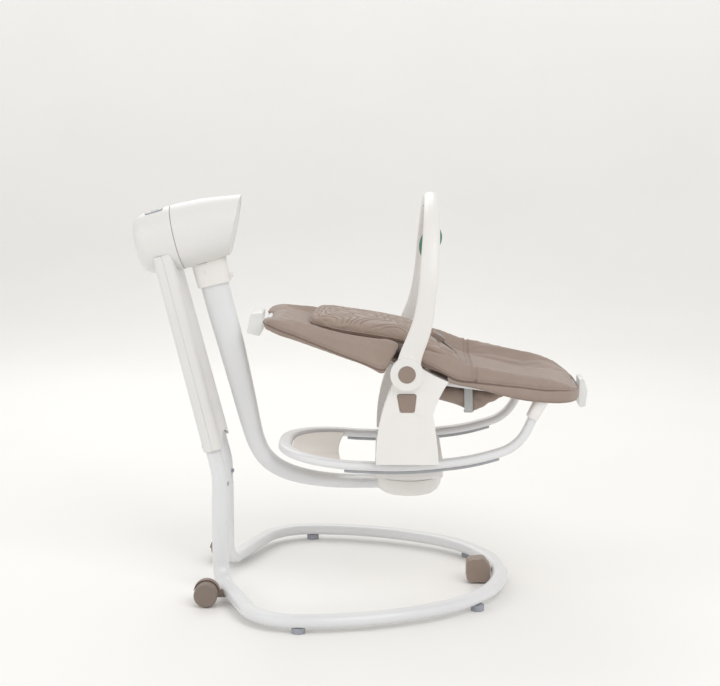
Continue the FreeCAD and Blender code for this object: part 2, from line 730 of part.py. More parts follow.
def head_fittings():
    """Control panel, its keys and dial, the circuit board under it and the mains socket."""
    panel = control_panel_slab(0.3, -1.4, 0.9)
    for name, spot in PANEL_BUTTONS.items():
        hole_radius = 9.2 if name == "speed_dial" else 5.2
        hole = Part.makeCylinder(hole_radius, 20, Vector(0, 0, -10))
        hole.Placement = Placement(PANEL_PLACE.multVec(spot), PANEL_PLACE.Rotation)
        panel = panel.cut(hole)
    keep(free_shape("control_panel", panel, HEAD))
    for name, spot in PANEL_BUTTONS.items():
        dial = name == "speed_dial"
        piece = Part.makeCylinder(8.8 if dial else 4.9, 5.5 if dial else 4.0, Vector(0, 0, -1.2))
        if dial:
            for i in range(16):
                angle = math.radians(22.5 * i)
                spot_on_rim = Vector(8.9 * math.cos(angle), 8.9 * math.sin(angle), 1.4)
                notch = Part.makeCylinder(0.7, 4, spot_on_rim)
                piece = piece.cut(notch)
        place = Placement(PANEL_PLACE.multVec(spot), PANEL_PLACE.Rotation)
        keep(free_shape(name, piece, HEAD.multiply(place)))
    board = control_panel_slab(7, -6.5, -4.9)
    keep(free_shape("circuit_board", board, HEAD))
    socket = Part.makeCylinder(5.4, 14, Vector(-89.4, 0, -38), Vector(1, 0, 0))
    socket = socket.cut(Part.makeCylinder(2.75, 11, Vector(-90, 0, -38), Vector(1, 0, 0)))
    keep(free_shape("adapter_socket", socket, HEAD))


head_fittings()


# ================================================================ stand: transport wheels

REAR_WHEEL = Vector(-326.0, 177.0, size("wheel_radius") + size("floor_gap"))
FRONT_WHEEL = Vector(260.0, 0.0, size("wheel_radius") - 4 + size("floor_gap"))


def wheel(name, centre, radius, width, closed=0):
    """A plain roller with rounded rims and a running bore, and a disc over one end if closed."""
    rim = 2.5
    bore = size("axle_radius") + size("running_gap")
    half = width / 2
    profile = [(bore, -half), (radius - rim, -half), (radius, -half + rim), (radius, half - rim),
               (radius - rim, half)]
    profile += [(0, half), (0, half - 4), (bore, half - 4)] if closed else [(bore, half)]
    if closed < 0:
        profile = [(r, -h) for r, h in profile]
    return keep(turned_body(name, profile, Placement(centre, Y_OUT)))


def transport_wheels():
    width = size("wheel_width")
    radius = size("wheel_radius")
    hoods = []
    axles = []
    for side, sign in SIDES:
        centre = Vector(REAR_WHEEL.x, sign * REAR_WHEEL.y, REAR_WHEEL.z)
        wheel("rear_wheel_" + side, centre, radius, width, -sign)
        inner = centre - Vector(0, sign * (width / 2 + 1), 0)
        toward = Vector(0, -sign, 0)
        # a hood over the inner part of the wheel, on an arm that grips the floor tube
        cover = Part.makeCone(radius - 7, radius + 3, 10, inner + toward * 10, toward * -1)
        eave = Part.makeCylinder(radius + 3, 14, inner, toward * -1)
        well = Part.makeCylinder(radius + 1.5, width + 3, inner, toward * -1)
        below = Part.makeBox(90, 90, 60, centre - Vector(45, 45, 56.5))
        arm = Part.makeBox(46, 8, 17, Vector(centre.x - 4, min(inner.y, (inner + toward * 8).y), 12))
        boss = Part.makeCylinder(11, 7.5, inner, toward)
        hoods.append(cover.fuse(eave).cut([well, below]).fuse([arm, boss]))
        axles.append(Part.makeCylinder(size("axle_radius"), width + 1.5, inner + toward * 6, toward * -1))
    front_radius = radius - 4
    front_width = 24.0
    wheel("front_wheel", FRONT_WHEEL, front_radius, front_width)
    axle = Part.makeCylinder(size("axle_radius"), front_width + 8,
                             FRONT_WHEEL - Vector(0, front_width / 2 + 4, 0), Vector(0, 1, 0))
    axles.append(axle)
    outline = rounded_loop([(234, 0, 5), (287, 0, 5), (287, 0, 40), (272, 0, 58), (234, 0, 54)], 12)
    housing = side_solid(outline, 19.0)
    pocket = Part.makeCylinder(front_radius + 2, front_width + 3,
                               FRONT_WHEEL - Vector(0, front_width / 2 + 1.5, 0), Vector(0, 1, 0))
    corner = Vector(FRONT_WHEEL.x - front_radius - 2, -front_width / 2 - 1.5, FRONT_WHEEL.z - 30)
    well = Part.makeBox(2 * front_radius + 4, front_width + 3, 30, corner)
    housing = housing.cut([pocket, well, axle, RING_SOLID])
    keep(free_shape("front_wheel_housing", housing))
    trimmed = []
    for hood, axle in zip(hoods, axles):
        trimmed.append(hood.cut([RING_SOLID, axle]))
    best = [max(hood.Solids, key=lambda part: part.Volume) for hood in trimmed]
    keep(free_shape("wheel_hoods", Part.makeCompound(best)))
    keep(free_shape("wheel_axles", Part.makeCompound(axles)))


def ring_solid():
    """The floor tube as a solid bar, to fit clamps round it."""
    path = Part.Wire(RING_PATH.OrderedEdges)
    corner = RING_PATH.OrderedVertexes[0].Point
    sign = 1 if corner.y > 0 else -1
    wide_dir = Vector(-REAR_DIR.y, sign * REAR_DIR.x, 0)
    thin_dir = Vector(0, 0, 1).cross(wide_dir).normalize()
    outer = flat_oval(corner, wide_dir, thin_dir, size("tube_wide") + 0.1, size("tube_thin") + 0.1)
    return path.makePipeShell([outer], True, False)


RING_SOLID = ring_solid()
transport_wheels()


# ================================================================ hub and turntable

def hub():
    """A bowl under the seat that holds the end of the arm and carries the turntable."""
    radius = size("hub_radius")
    base = size("hub_base_z")
    deck = size("hub_deck_z")
    spindle = size("spindle_radius")
    height = deck - base
    rise = height + 10.5
    profile = [(0, 0), (38, 0), (56, 4.5), (66, 12), (71, 22), (radius, 32), (radius, height),
               (spindle, height), (spindle, rise), (0, rise)]
    bowl = turned_body("hub_bowl_form", profile, at(HUB_X, 0, base))
    doc.recompute()
    arm = lofted_bar(arm_sections(0.1))
    hollow = Part.makeCylinder(radius - 12, height - 18, Vector(HUB_X, 0, base + 12))
    hollow = hollow.cut(Part.makeCylinder(spindle + 6, height, Vector(HUB_X, 0, base)))
    shape = bowl.Shape.cut([arm, hollow.common(Part.makeBox(300, 300, 200, Vector(75, -150, 150)))])
    keep(free_shape("hub_bowl", shape))


hub()


def turntable():
    radius = size("hub_radius")
    deck = size("hub_deck_z")
    bore = size("spindle_radius") + size("running_gap")
    thick = size("turntable_thick")
    dock = size("dock_radius")
    top = thick + size("dock_height")
    profile = [(bore, 0), (radius - 1, 0), (radius - 1, thick - 2), (radius - 3, thick), (dock, thick),
               (dock - 4, top), (bore + 8, top), (bore + 8, 18), (bore, 18)]
    return keep(turned_body("turntable", profile, at(HUB_X, 0, deck + 0.4)))


turntable()


# ================================================================ rocker

def rocker_path():
    """The rail's centre line: right riser, right rail, the loop at the head end, and back."""
    y = size("rail_y")
    half = [
        (PIVOT.x + 281, y, 444.0), (PIVOT.x + 235.5, y, 344.0), (PIVOT.x + 140, y, 315.5),
        (PIVOT.x + 5, y, 299.5), (PIVOT.x - 112, y, 303.5), (PIVOT.x - 262, y, 316.5),
    ]
    points = [(px, -py, pz) for px, py, pz in half] + [(px, py, pz) for px, py, pz in reversed(half)]
    loop = size("loop_radius")
    radii = [92, 480, 900, 380, loop, loop, 380, 900, 480, 92]
    return rounded(points, radii)


ROCKER_PATH = rocker_path()


def rail_table():
    """(X, Z) samples of the rail's centre line, in order of X."""
    samples = []
    for edge in ROCKER_PATH.Edges:
        for i in range(41):
            point = edge.valueAt(edge.FirstParameter + (edge.LastParameter - edge.FirstParameter) * i / 40)
            if point.y > 0:
                samples.append((point.x, point.z))
    return sorted(samples)


RAIL_TABLE = rail_table()


def rail_height(x):
    """The height of the rail's centre line at X."""
    for (xa, za), (xb, zb) in zip(RAIL_TABLE, RAIL_TABLE[1:]):
        if xa <= x <= xb and xb > xa:
            return za + (zb - za) * (x - xa) / (xb - xa)
    return RAIL_TABLE[-1][1]


def rail_bar(grow):
    """The rail as a solid bar, to fit parts round it."""
    side = Vector(0, 1, 0)
    first = ROCKER_PATH.Edges[0]
    start = first.valueAt(first.FirstParameter)
    along = first.tangentAt(first.FirstParameter)
    wide, thin = size("rail_wide") + grow, size("rail_thin") + grow
    section = flat_oval(start, side, along.cross(side).normalize(), wide, thin)
    return ROCKER_PATH.makePipeShell([section], True, False)


def rocker_tube():
    wide, thin, wall = size("rail_wide"), size("rail_thin"), size("rail_wall")
    shape = flat_tube(ROCKER_PATH, Vector(0, 1, 0), wide, thin, wall)
    keep(free_shape("rocker_tube", shape))


rocker_tube()


def rail_strips():
    """Rubber strips glued under the rails."""
    y = size("rail_y")
    below = size("rail_thin") / 2
    strips = []
    start, stop, steps = PIVOT.x - 130, PIVOT.x + 195, 28
    upper = [(start + (stop - start) * i / steps, 0) for i in range(steps + 1)]
    top = [Vector(x, 0, rail_height(x) - below - 0.8) for x, _ in upper]
    curve = Part.BSplineCurve()
    curve.interpolate(top)
    lower = Part.BSplineCurve()
    lower.interpolate([p - Vector(0, 0, size("strip_thick")) for p in top])
    ends = [Part.makeLine(top[0], top[0] - Vector(0, 0, size("strip_thick"))),
            Part.makeLine(top[-1], top[-1] - Vector(0, 0, size("strip_thick")))]
    outline = Part.Wire(Part.__sortEdges__([curve.toShape(), lower.toShape()] + ends))
    for sign in (1, -1):
        strips.append(side_solid(outline, 6.0).translated(Vector(0, sign * (y - 0.5), 0)))
    keep(free_shape("rail_strips", Part.makeCompound(strips)))


rail_strips()


def rocker_web():
    """The plastic web that fills the loop at the head end, with a hollowed inner edge."""
    inset = size("rail_wide") / 2 + 1.0
    corner = size("loop_radius") - inset
    tip = PIVOT.x - 262 + inset
    inner = PIVOT.x - 137.0
    middle = Vector(PIVOT.x - 262 + size("loop_radius"), size("rail_y") - size("loop_radius"), 0)
    edge_y = middle.y + math.sqrt(corner ** 2 - (middle.x - inner) ** 2)
    knee = middle + Vector(-corner, corner, 0) * math.sqrt(0.5)
    start = Vector(inner, -edge_y, 0)
    end = Vector(inner, edge_y, 0)
    outline = [
        Part.Arc(start, Vector(knee.x, -knee.y, 0), Vector(tip, -middle.y, 0)).toShape(),
        Part.makeLine(Vector(tip, -middle.y, 0), Vector(tip, middle.y, 0)),
        Part.Arc(Vector(tip, middle.y, 0), knee, end).toShape(),
        Part.Arc(end, Vector(inner - 9, 0, 0), start).toShape(),
    ]
    slope = math.degrees(math.atan2(13.0, 150.0))
    lift = rail_height(inner) - 2.0 + inner * math.tan(math.radians(slope))
    place = Placement(Vector(0, 0, lift), Rotation(Vector(0, 1, 0), slope))
    return keep(padded("rocker_web", Part.Wire(outline), "Sizes.web_thick", place))


rocker_web()


def rocker_bridge():
    """The beam between the rails that docks on the turntable."""
    deck = size("hub_deck_z") + 0.4 + size("turntable_thick")
    top = 303.0
    y = size("rail_y") - size("rail_wide") / 2 - 0.6
    corners = [(HUB_X - 72, -y, 0), (HUB_X + 72, -y, 0), (HUB_X + 72, y, 0), (HUB_X - 72, y, 0)]
    beam = Part.Face(rounded_loop(corners, 24)).extrude(Vector(0, 0, top - deck - GAP))
    beam = beam.translated(Vector(0, 0, deck + GAP))
    dock = Part.makeCone(size("dock_radius") + GAP, size("dock_radius") - 4 + GAP,
                         size("dock_height") + GAP, Vector(HUB_X, 0, deck))
    under = Part.makeBox(300, 60, 14, Vector(HUB_X - 150, -y, deck - 1))
    other = under.translated(Vector(0, 2 * y - 60, 0))
    wall = size("panel_wall")
    hollows = []
    for sign in (1, -1):
        inner = [(HUB_X - 68, sign * 66, deck - 1), (HUB_X + 68, sign * 66, deck - 1),
                 (HUB_X + 68, sign * (y - 4), deck - 1), (HUB_X - 68, sign * (y - 4), deck - 1)]
        hollows.append(Part.Face(rounded_loop(inner, 18)).extrude(Vector(0, 0, top - wall - deck + 1)))
    beam = beam.cut([dock, under, other] + hollows)
    keep(free_shape("rocker_bridge", beam))


rocker_bridge()


def leg_frame():
    """The tube under the leg section, a loop whose ends sit in the side panels."""
    points = [(PIVOT.x + 70, 178, PIVOT.z - 22), (PIVOT.x + 150, 186, PIVOT.z - 31),
              (PIVOT.x + 240, 184, PIVOT.z - 46), (PIVOT.x + 325, 160, PIVOT.z - 51.5),
              (PIVOT.x + 366, 60, PIVOT.z - 60)]
    loop = [(x, -y, z) for x, y, z in points] + [(x, y, z) for x, y, z in reversed(points)]
    path = rounded(loop, [300, 200, 60, 55, 55, 60, 200, 300])
    radius = size("frame_tube_radius")
    keep(free_shape("leg_frame", round_tube(path, radius, 1.2)))
    first = path.Edges[0]
    start = first.valueAt(first.FirstParameter)
    circle = Part.makeCircle(radius + 0.05, start, first.tangentAt(first.FirstParameter))
    return path.makePipeShell([Part.Wire([circle])], True, False)


LEG_BAR = leg_frame()


def panel_outline():
    """A side panel as (X from the pivot, Z): waisted, with a shelf at the front."""
    foot = 314.6 - PIVOT.z
    edges = [
        Part.Arc(Vector(-63, foot, 0), Vector(-54, -100, 0), Vector(-27, -23, 0)).toShape(),
        Part.Arc(Vector(-27, -23, 0), Vector(-29.5, 8, 0), Vector(-8, 30, 0)).toShape(),
        Part.makeLine(Vector(-8, 30, 0), Vector(24, 14, 0)),
        Part.Arc(Vector(24, 14, 0), Vector(56, -5, 0), Vector(86.5, -18, 0)).toShape(),
        Part.Arc(Vector(86.5, -18, 0), Vector(66, -55, 0), Vector(54.5, -88, 0)).toShape(),
        Part.Arc(Vector(54.5, -88, 0), Vector(61, -128, 0), Vector(67, foot, 0)).toShape(),
        Part.makeLine(Vector(67, foot, 0), Vector(-63, foot, 0)),
    ]
    return Part.Wire(edges)


RELEASE = [(-20.0, -43.5), (20.0, -43.5), (15.5, -81.5), (-13.0, -81.5)]


def release_outline(grow):
    middle = (RELEASE[0][1] + RELEASE[-1][1]) / 2
    grown = [(x + math.copysign(grow, x), z + math.copysign(grow, z - middle), 0) for x, z in RELEASE]
    return rounded_loop(grown, 5)


def side_panels():
    """Outer trays, inner trays, and the release key in each outer tray."""
    outer_y = size("panel_outer_y")
    depth = size("panel_half_depth")
    wall = size("panel_wall")
    outline = panel_outline()
    inner = outline.makeOffset2D(-wall)
    seam = 0.2
    middle_y = outer_y - depth - seam
    form = Part.Face(outline)
    hollow = Part.Face(inner)
    key_hole = Part.Face(release_outline(0.5))
    key = Part.Face(release_outline(0))
    pin_bore = size("pivot_pin_radius")
    inner_trays = []
    for side, sign in SIDES:
        turn = Rotation(Vector(1, 0, 0), 90)
        place = Placement(Vector(PIVOT.x, 0, PIVOT.z), turn)

        def slab(face, low, high):
            """A slab between two distances from the middle plane, on this side."""
            solid = face.extrude(Vector(0, 0, high - low))
            solid = solid.translated(Vector(0, 0, low if sign < 0 else -high))
            solid.Placement = place.multiply(solid.Placement)
            return solid

        def rod(radius, low, high):
            start = Vector(PIVOT.x, sign * low, PIVOT.z)
            return Part.makeCylinder(radius, high - low, start, Vector(0, sign, 0))

        tray = slab(form, middle_y + seam, outer_y).cut(slab(hollow, middle_y, outer_y - wall))
        tray = tray.cut([slab(key_hole, middle_y, outer_y + 1), rod(10.0, middle_y, outer_y + 1), LEG_BAR])
        keep(free_shape("side_panel_" + side, tray))
        lining = slab(form, middle_y - depth, middle_y)
        lining = lining.cut(slab(hollow, middle_y - depth + wall, middle_y + 1))
        post = rod(size("pivot_pin_radius") + 3, middle_y - depth, outer_y - wall - 2)
        pin = rod(pin_bore, middle_y - depth - 14, middle_y - depth)
        tip = rod(size("pivot_pin_radius"), outer_y - wall - 2, outer_y + 5)
        inner_trays.append(lining.cut([LEG_BAR, rail_bar(0.4)]).fuse([post, pin, tip]))
        key_piece = slab(key, outer_y - 9, outer_y + 1.2)
        keep(free_shape("release_button_" + side, key_piece))
    keep(free_shape("inner_panels", Part.makeCompound(inner_trays)))


side_panels()


# ================================================================ toy bar

def toy_bar():
    """A lofted arch with a round hub at each foot."""
    top = size("bar_top_z") - PIVOT.z
    half = size("bar_half_span")
    hub_y = size("panel_outer_y") + GAP
    thick = size("bar_hub_thick")
    side_line = [(0, 0, 0), (4, 0, 25), (26, 0, 88), (39, 0, 150), (46, 0, 223), (50, 0, 290), (53, 0, top)]
    lean = smooth_table(side_line, 61)

    def lean_at(height):
        best = min(lean, key=lambda point: abs(point.z - height))
        return best.x

    shoulder = 150.0
    centres = []
    for i in range(5):
        centres.append(Vector(0, half, -6 + (shoulder + 6) * i / 4))
    for i in range(1, 9):
        angle = math.radians(90 * i / 8)
        rise = (top - shoulder) * math.sin(angle) ** 0.94
        centres.append(Vector(0, half * math.cos(angle) ** 0.86, shoulder + rise))
    full = [Vector(lean_at(c.z), c.y, c.z) for c in centres]
    full += [Vector(c.x, -c.y, c.z) for c in reversed(full[:-1])]
    stations = []
    for i, centre in enumerate(full):
        ahead = (full[min(i + 1, len(full) - 1)] - full[max(i - 1, 0)]).normalize()
        across = Vector(1, 0, 0)
        across = (across - ahead * across.dot(ahead)).normalize()
        thin_dir = ahead.cross(across).normalize()
        low = max(0.0, 1 - max(centre.z, 0) / 150)
        high = max(0.0, (centre.z - 240) / (top - 240))
        wide = size("bar_wide") + 12 * low - 6 * high
        thin = size("bar_thin") - 3 * low + 4 * high
        stations.append((centre, across, thin_dir, wide, thin, 2.2))
    arch = Part.makeLoft([oval_ring(*s) for s in stations], True, False)
    cuts = []
    hubs = []
    for sign in (1, -1):
        start = Vector(0, sign * hub_y, 0)
        hubs.append(Part.makeCylinder(size("bar_hub_radius"), thick, start, Vector(0, sign, 0)))
        seat = start + Vector(0, sign * 5, 0)
        cuts.append(Part.makeCylinder(size("bar_button_radius") + 0.5, thick, seat, Vector(0, sign, 0)))
        cuts.append(Part.makeCylinder(size("pivot_pin_radius") + size("running_gap"), 60,
                                      start - Vector(0, sign * 10, 0), Vector(0, sign, 0)))
    keep_zone = Part.makeBox(300, 2 * hub_y, 120, Vector(-150, -hub_y, -60))
    shape = arch.cut(keep_zone).fuse(hubs).cut(cuts)
    keep(free_shape("toy_bar", shape, Placement(PIVOT, UPRIGHT)))

    for side, sign in SIDES:
        start = PIVOT + Vector(0, sign * (hub_y + 9.5), 0)
        cap = Part.makeCylinder(size("bar_button_radius"), 7.5, start, Vector(0, sign, 0))
        cap = cap.makeFillet(1.2, [e for e in cap.Edges if isinstance(e.Curve, Part.Circle)])
        keep(free_shape("toy_bar_button_" + side, cap))


toy_bar()


def leaf_toy():
    """Two padded leaves sewn on one webbing loop that hangs from the top of the bar."""
    top_x = PIVOT.x + 53
    top_z = size("bar_top_z") - 10.6

    def leaf(x, y, top, length, wide):
        sections = []
        for i in range(1, 8):
            t = i / 8
            half = wide * math.sin(math.pi * t) ** 0.8
            centre = Vector(x, y, top - length * t)
            thick = 4 + 9 * math.sin(math.pi * t)
            sections.append(oval_ring(centre, Vector(1, 0, 0), Vector(0, 1, 0), half, thick, 2.0, 16))
        return Part.makeLoft(sections, True, False)

    first = leaf(top_x - 12, 6, top_z - 66, 66, 24)
    second = leaf(top_x + 12, -8, top_z - 48, 58, 24)
    loop = Part.makeBox(5, 2, 70, Vector(top_x - 14.5, 5, top_z - 78))
    loop_two = Part.makeBox(5, 2, 52, Vector(top_x + 9.5, -9, top_z - 60))
    header = Part.makeBox(29, 19, 3, Vector(top_x - 14.5, -10.5, top_z - 11))
    # the header turns about the round fold of webbing along its top
    fold = Part.makeCylinder(4.0, 19, Vector(top_x, -10.5, top_z - 5), Vector(0, 1, 0))
    keep(free_shape("leaf_toy", header.fuse([fold, loop, loop_two, first, second])))


leaf_toy()


# ================================================================ seat frames and soft parts

def at_pivot(points):
    return [Vector(PIVOT.x + x, 0, PIVOT.z + z) for x, z in points]


def outline_solid(bottom, top, plan):
    """A soft part: its side view (bottom and top lines) crossed with its plan outline."""
    low = Part.BSplineCurve()
    low.interpolate(at_pivot(bottom))
    high = Part.BSplineCurve()
    high.interpolate(at_pivot(top))
    low_edge, high_edge = low.toShape(), high.toShape()
    ends = [Part.makeLine(at_pivot(bottom)[0], at_pivot(top)[0]),
            Part.makeLine(at_pivot(bottom)[-1], at_pivot(top)[-1])]
    side = Part.Wire(Part.__sortEdges__([low_edge, high_edge] + ends))
    body = side_solid(side, 260)
    plan_points = [Vector(PIVOT.x + x, y, 0) for x, y in plan]
    plan_points += [Vector(p.x, -p.y, 0) for p in reversed(plan_points)]
    footprint = Part.Face(Part.makePolygon(plan_points + plan_points[:1])).extrude(Vector(0, 0, 900))
    return body.common(footprint)


BACK_BOTTOM = [(-303, 92), (-250, 85), (-210, 75), (-170, 61), (-130, 47), (-90, 36), (-50, 26),
               (-38, 22)]
BACK_TOP = [(-303, 101), (-288, 104), (-250, 98), (-210, 91), (-170, 81), (-130, 74), (-90, 67),
            (-50, 61), (-15, 56)]
BACK_PLAN = [(-306, 90), (-300, 116), (-285, 132), (-230, 154), (-170, 182), (-110, 199), (-60, 199),
             (-12, 198)]
LEG_BOTTOM = [(26, 2), (60, -8), (100, -16), (140, -20), (190, -27.5), (240, -35.5), (290, -39),
              (330, -42), (372, -51)]
LEG_TOP_LINE = [(26, 50), (60, 43), (105, 29), (140, 15), (190, 7), (240, -3),
                (290, -14), (330, -25.5), (372, -44)]
LEG_PLAN = [(24, 198), (60, 202), (140, 204), (190, 204), (240, 202), (285, 192), (325, 168),
            (355, 128), (370, 78), (374, 40)]


LEG_FLOOR = [(26, 14), (60, 5), (105, -4.5), (140, -8), (190, -15), (240, -24), (290, -29)]
BACK_FLOOR = [(-210, 78), (-170, 68), (-130, 61), (-90, 54), (-50, 48), (-15, 43)]


def trough(top_line, floor_line, half_width):
    """What is scooped out between the padded rims: the floor, and a step half way up to it."""
    tops = dict(top_line)
    form = None
    for share, half in ((1.0, half_width), (0.5, half_width + 24)):
        points = at_pivot([(x, tops[x] + (z - tops[x]) * share) for x, z in floor_line])
        floor = Part.BSplineCurve()
        floor.interpolate(points)
        up = Vector(0, 0, 150)
        sides = [Part.makeLine(points[0], points[0] + up), Part.makeLine(points[-1], points[-1] + up),
                 Part.makeLine(points[0] + up, points[-1] + up)]
        step = side_solid(Part.Wire(Part.__sortEdges__([floor.toShape()] + sides)), half)
        form = step if form is None else form.fuse(step)
    return form


def soft_parts():
    """Plain closed solids of the padded cover, the two halves of the insert and the pouch."""
    back = outline_solid(BACK_BOTTOM, BACK_TOP, BACK_PLAN)
    keep(free_shape("back_cushion", back.cut(trough(BACK_TOP, BACK_FLOOR, 122))))
    leg = outline_solid(LEG_BOTTOM, LEG_TOP_LINE, LEG_PLAN)
    panel = Part.Face(panel_outline().makeOffset2D(1.6)).extrude(Vector(0, 0, 50))
    panel.Placement = Placement(Vector(PIVOT.x, -165, PIVOT.z), Y_OUT)
    leg = leg.cut([trough(LEG_TOP_LINE, LEG_FLOOR, 118), panel, mirrored(panel)])
    keep(free_shape("leg_cushion", max(leg.Solids, key=lambda part: part.Volume)))
    insert_low = [(-204, 80.0), (-170, 69), (-130, 61.8), (-90, 55.8), (-36, 47.8)]
    insert_high = [(-204, 102), (-185, 105), (-133, 99), (-87, 93), (-36, 83)]
    insert_plan = [(-206, 40), (-200, 80), (-180, 100), (-120, 112), (-60, 112), (-38, 105)]
    keep(free_shape("back_insert", outline_solid(insert_low, insert_high, insert_plan)))
    seat_low = [(34, 12.6), (60, 5.7), (100, -2.9), (124, -6.2)]
    seat_high = [(34, 60), (60, 43), (100, 17), (124, 1)]
    seat_plan = [(34, 98), (70, 96), (100, 84), (120, 60), (126, 30)]
    keep(free_shape("seat_insert", outline_solid(seat_low, seat_high, seat_plan)))
    pouch_low = [(52, -66), (90, -77), (122, -88), (140, -97.5), (150, -96), (168, -84), (205, -62)]
    pouch_high = [(52, -28), (90, -34), (140, -40), (205, -48.5)]
    pouch_plan = [(52, 150), (205, 150)]
    keep(free_shape("under_seat_pouch", outline_solid(pouch_low, pouch_high, pouch_plan)))


soft_parts()


def backrest_frame():
    """The reclining tube loop with a bored lug on each pivot pin."""
    lug_y = size("panel_outer_y") - 2 * size("panel_half_depth") - 8
    points = [(PIVOT.x - 8, lug_y, PIVOT.z + 2), (PIVOT.x - 130, 160, PIVOT.z + 38),
              (PIVOT.x - 250, 132, PIVOT.z + 76), (PIVOT.x - 294, 84, PIVOT.z + 84)]
    loop = [(x, -y, z) for x, y, z in points] + [(x, y, z) for x, y, z in reversed(points)]
    path = rounded(loop, [200, 60, 50, 50, 60, 200])
    tube = round_tube(path, size("frame_tube_radius"), 1.2)
    lugs = []
    bores = []
    for sign in (1, -1):
        start = Vector(PIVOT.x, sign * (lug_y - 5), PIVOT.z)
        lugs.append(Part.makeCylinder(15, 11, start, Vector(0, sign, 0)))
        inside = start - Vector(0, sign * 30, 0)
        bores.append(Part.makeCylinder(size("pivot_pin_radius") + size("running_gap"), 60, inside,
                                       Vector(0, sign, 0)))
    shape = tube.fuse(lugs).cut(bores)
    solid = max(shape.Solids, key=lambda s: s.Volume)
    keep(free_shape("backrest_frame", solid))


backrest_frame()


def end_fittings():
    """The squeeze handle at the head end and the clip at the foot end."""
    handle_side = rounded_loop([(PIVOT.x - 343, 0, PIVOT.z + 59), (PIVOT.x - 312, 0, PIVOT.z + 52),
                                (PIVOT.x - 307.5, 0, PIVOT.z + 103), (PIVOT.x - 334, 0, PIVOT.z + 100)], 6)
    handle = side_solid(handle_side, 44)
    handle = handle.cut(Part.makeBox(14, 66, 34, Vector(PIVOT.x - 329, -33, PIVOT.z + 50)))
    keep(free_shape("recline_handle", handle))
    clip = rounded_loop([(PIVOT.x + 376.5, 0, PIVOT.z - 105), (PIVOT.x + 390, 0, PIVOT.z - 102),
                         (PIVOT.x + 394, 0, PIVOT.z - 66), (PIVOT.x + 386, 0, PIVOT.z - 42),
                         (PIVOT.x + 376.5, 0, PIVOT.z - 43)], 4)
    keep(free_shape("foot_clip", side_solid(clip, 32)))


end_fittings()


def riser_sockets():
    """Sockets that join the rocker's risers to the leg frame."""
    sockets = []
    for sign in (1, -1):
        low = Vector(PIVOT.x + 262, sign * size("rail_y"), 407.0)
        high = Vector(PIVOT.x + 290, sign * (size("rail_y") + 4), 462.0)
        ahead = (high - low).normalize()
        side = Vector(0, 1, 0)
        across = ahead.cross(side).normalize()
        stations = [(low + (high - low) * t, side, across, 36 + 2 * t, 25 + 5 * t, 3.0)
                    for t in (0, 0.25, 0.5, 0.75, 1)]
        below = Part.makeBox(600, 600, 465.5, Vector(0, -300, 0))
        sockets.append(Part.makeLoft([oval_ring(*s) for s in stations], True, False).common(below))
    shaped = [socket.cut([rail_bar(0.1), LEG_BAR]) for socket in sockets]
    best = [max(s.Solids, key=lambda part: part.Volume) for s in shaped]
    keep(free_shape("riser_sockets", Part.makeCompound(best)))


riser_sockets()


def harness():
    """The buckle on its crotch strap, and the two waist straps, lying on the seat insert."""
    place = Placement(PIVOT + Vector(68, 0, 42.0), Rotation(Vector(0, 1, 0), 31))
    corners = [(-15, -17, 0), (15, -20, 0), (15, 20, 0), (-15, 17, 0)]
    body = Part.Face(rounded_loop(corners, 6)).extrude(Vector(0, 0, 10))
    well = Part.makeCylinder(8.4, 8, Vector(0, 0, 4))
    body = body.cut(well)
    keep(free_shape("harness_buckle", body, place))
    key = Part.makeCylinder(8.0, 5.5, Vector(0, 0, 5.4))
    keep(free_shape("buckle_button", key, place))
    straps = []
    for sign in (1, -1):
        strap = Part.makeBox(18, 60, 1.6, Vector(-9, 20.5 if sign > 0 else -80.5, 3))
        straps.append(strap)
    straps.append(Part.makeBox(30, 20, 1.6, Vector(15.5, -10, 1.2)))
    keep(free_shape("harness_straps", Part.makeCompound(straps), place))


harness()


# ---------------------------------------------------------------- check and write

doc.recompute()
for item in doc.Objects:
    if "Invalid" in item.State or "Error" in item.State:
        raise RuntimeError("%s failed to compute" % item.Label)
os.makedirs("parts", exist_ok=True)
for item in NODES:
    shape = item.Shape
    if shape.isNull() or not shape.isValid() or not shape.Solids:
        raise RuntimeError("%s has no valid solid" % item.Label)
    shape.exportStep("parts/%s.step" % item.Label)
    print("%-24s %d solids %10.0f mm3" % (item.Label, len(shape.Solids), shape.Volume))
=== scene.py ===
import json
import math

import bmesh
import bpy
import numpy as np
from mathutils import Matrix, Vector
from mathutils.bvhtree import BVHTree


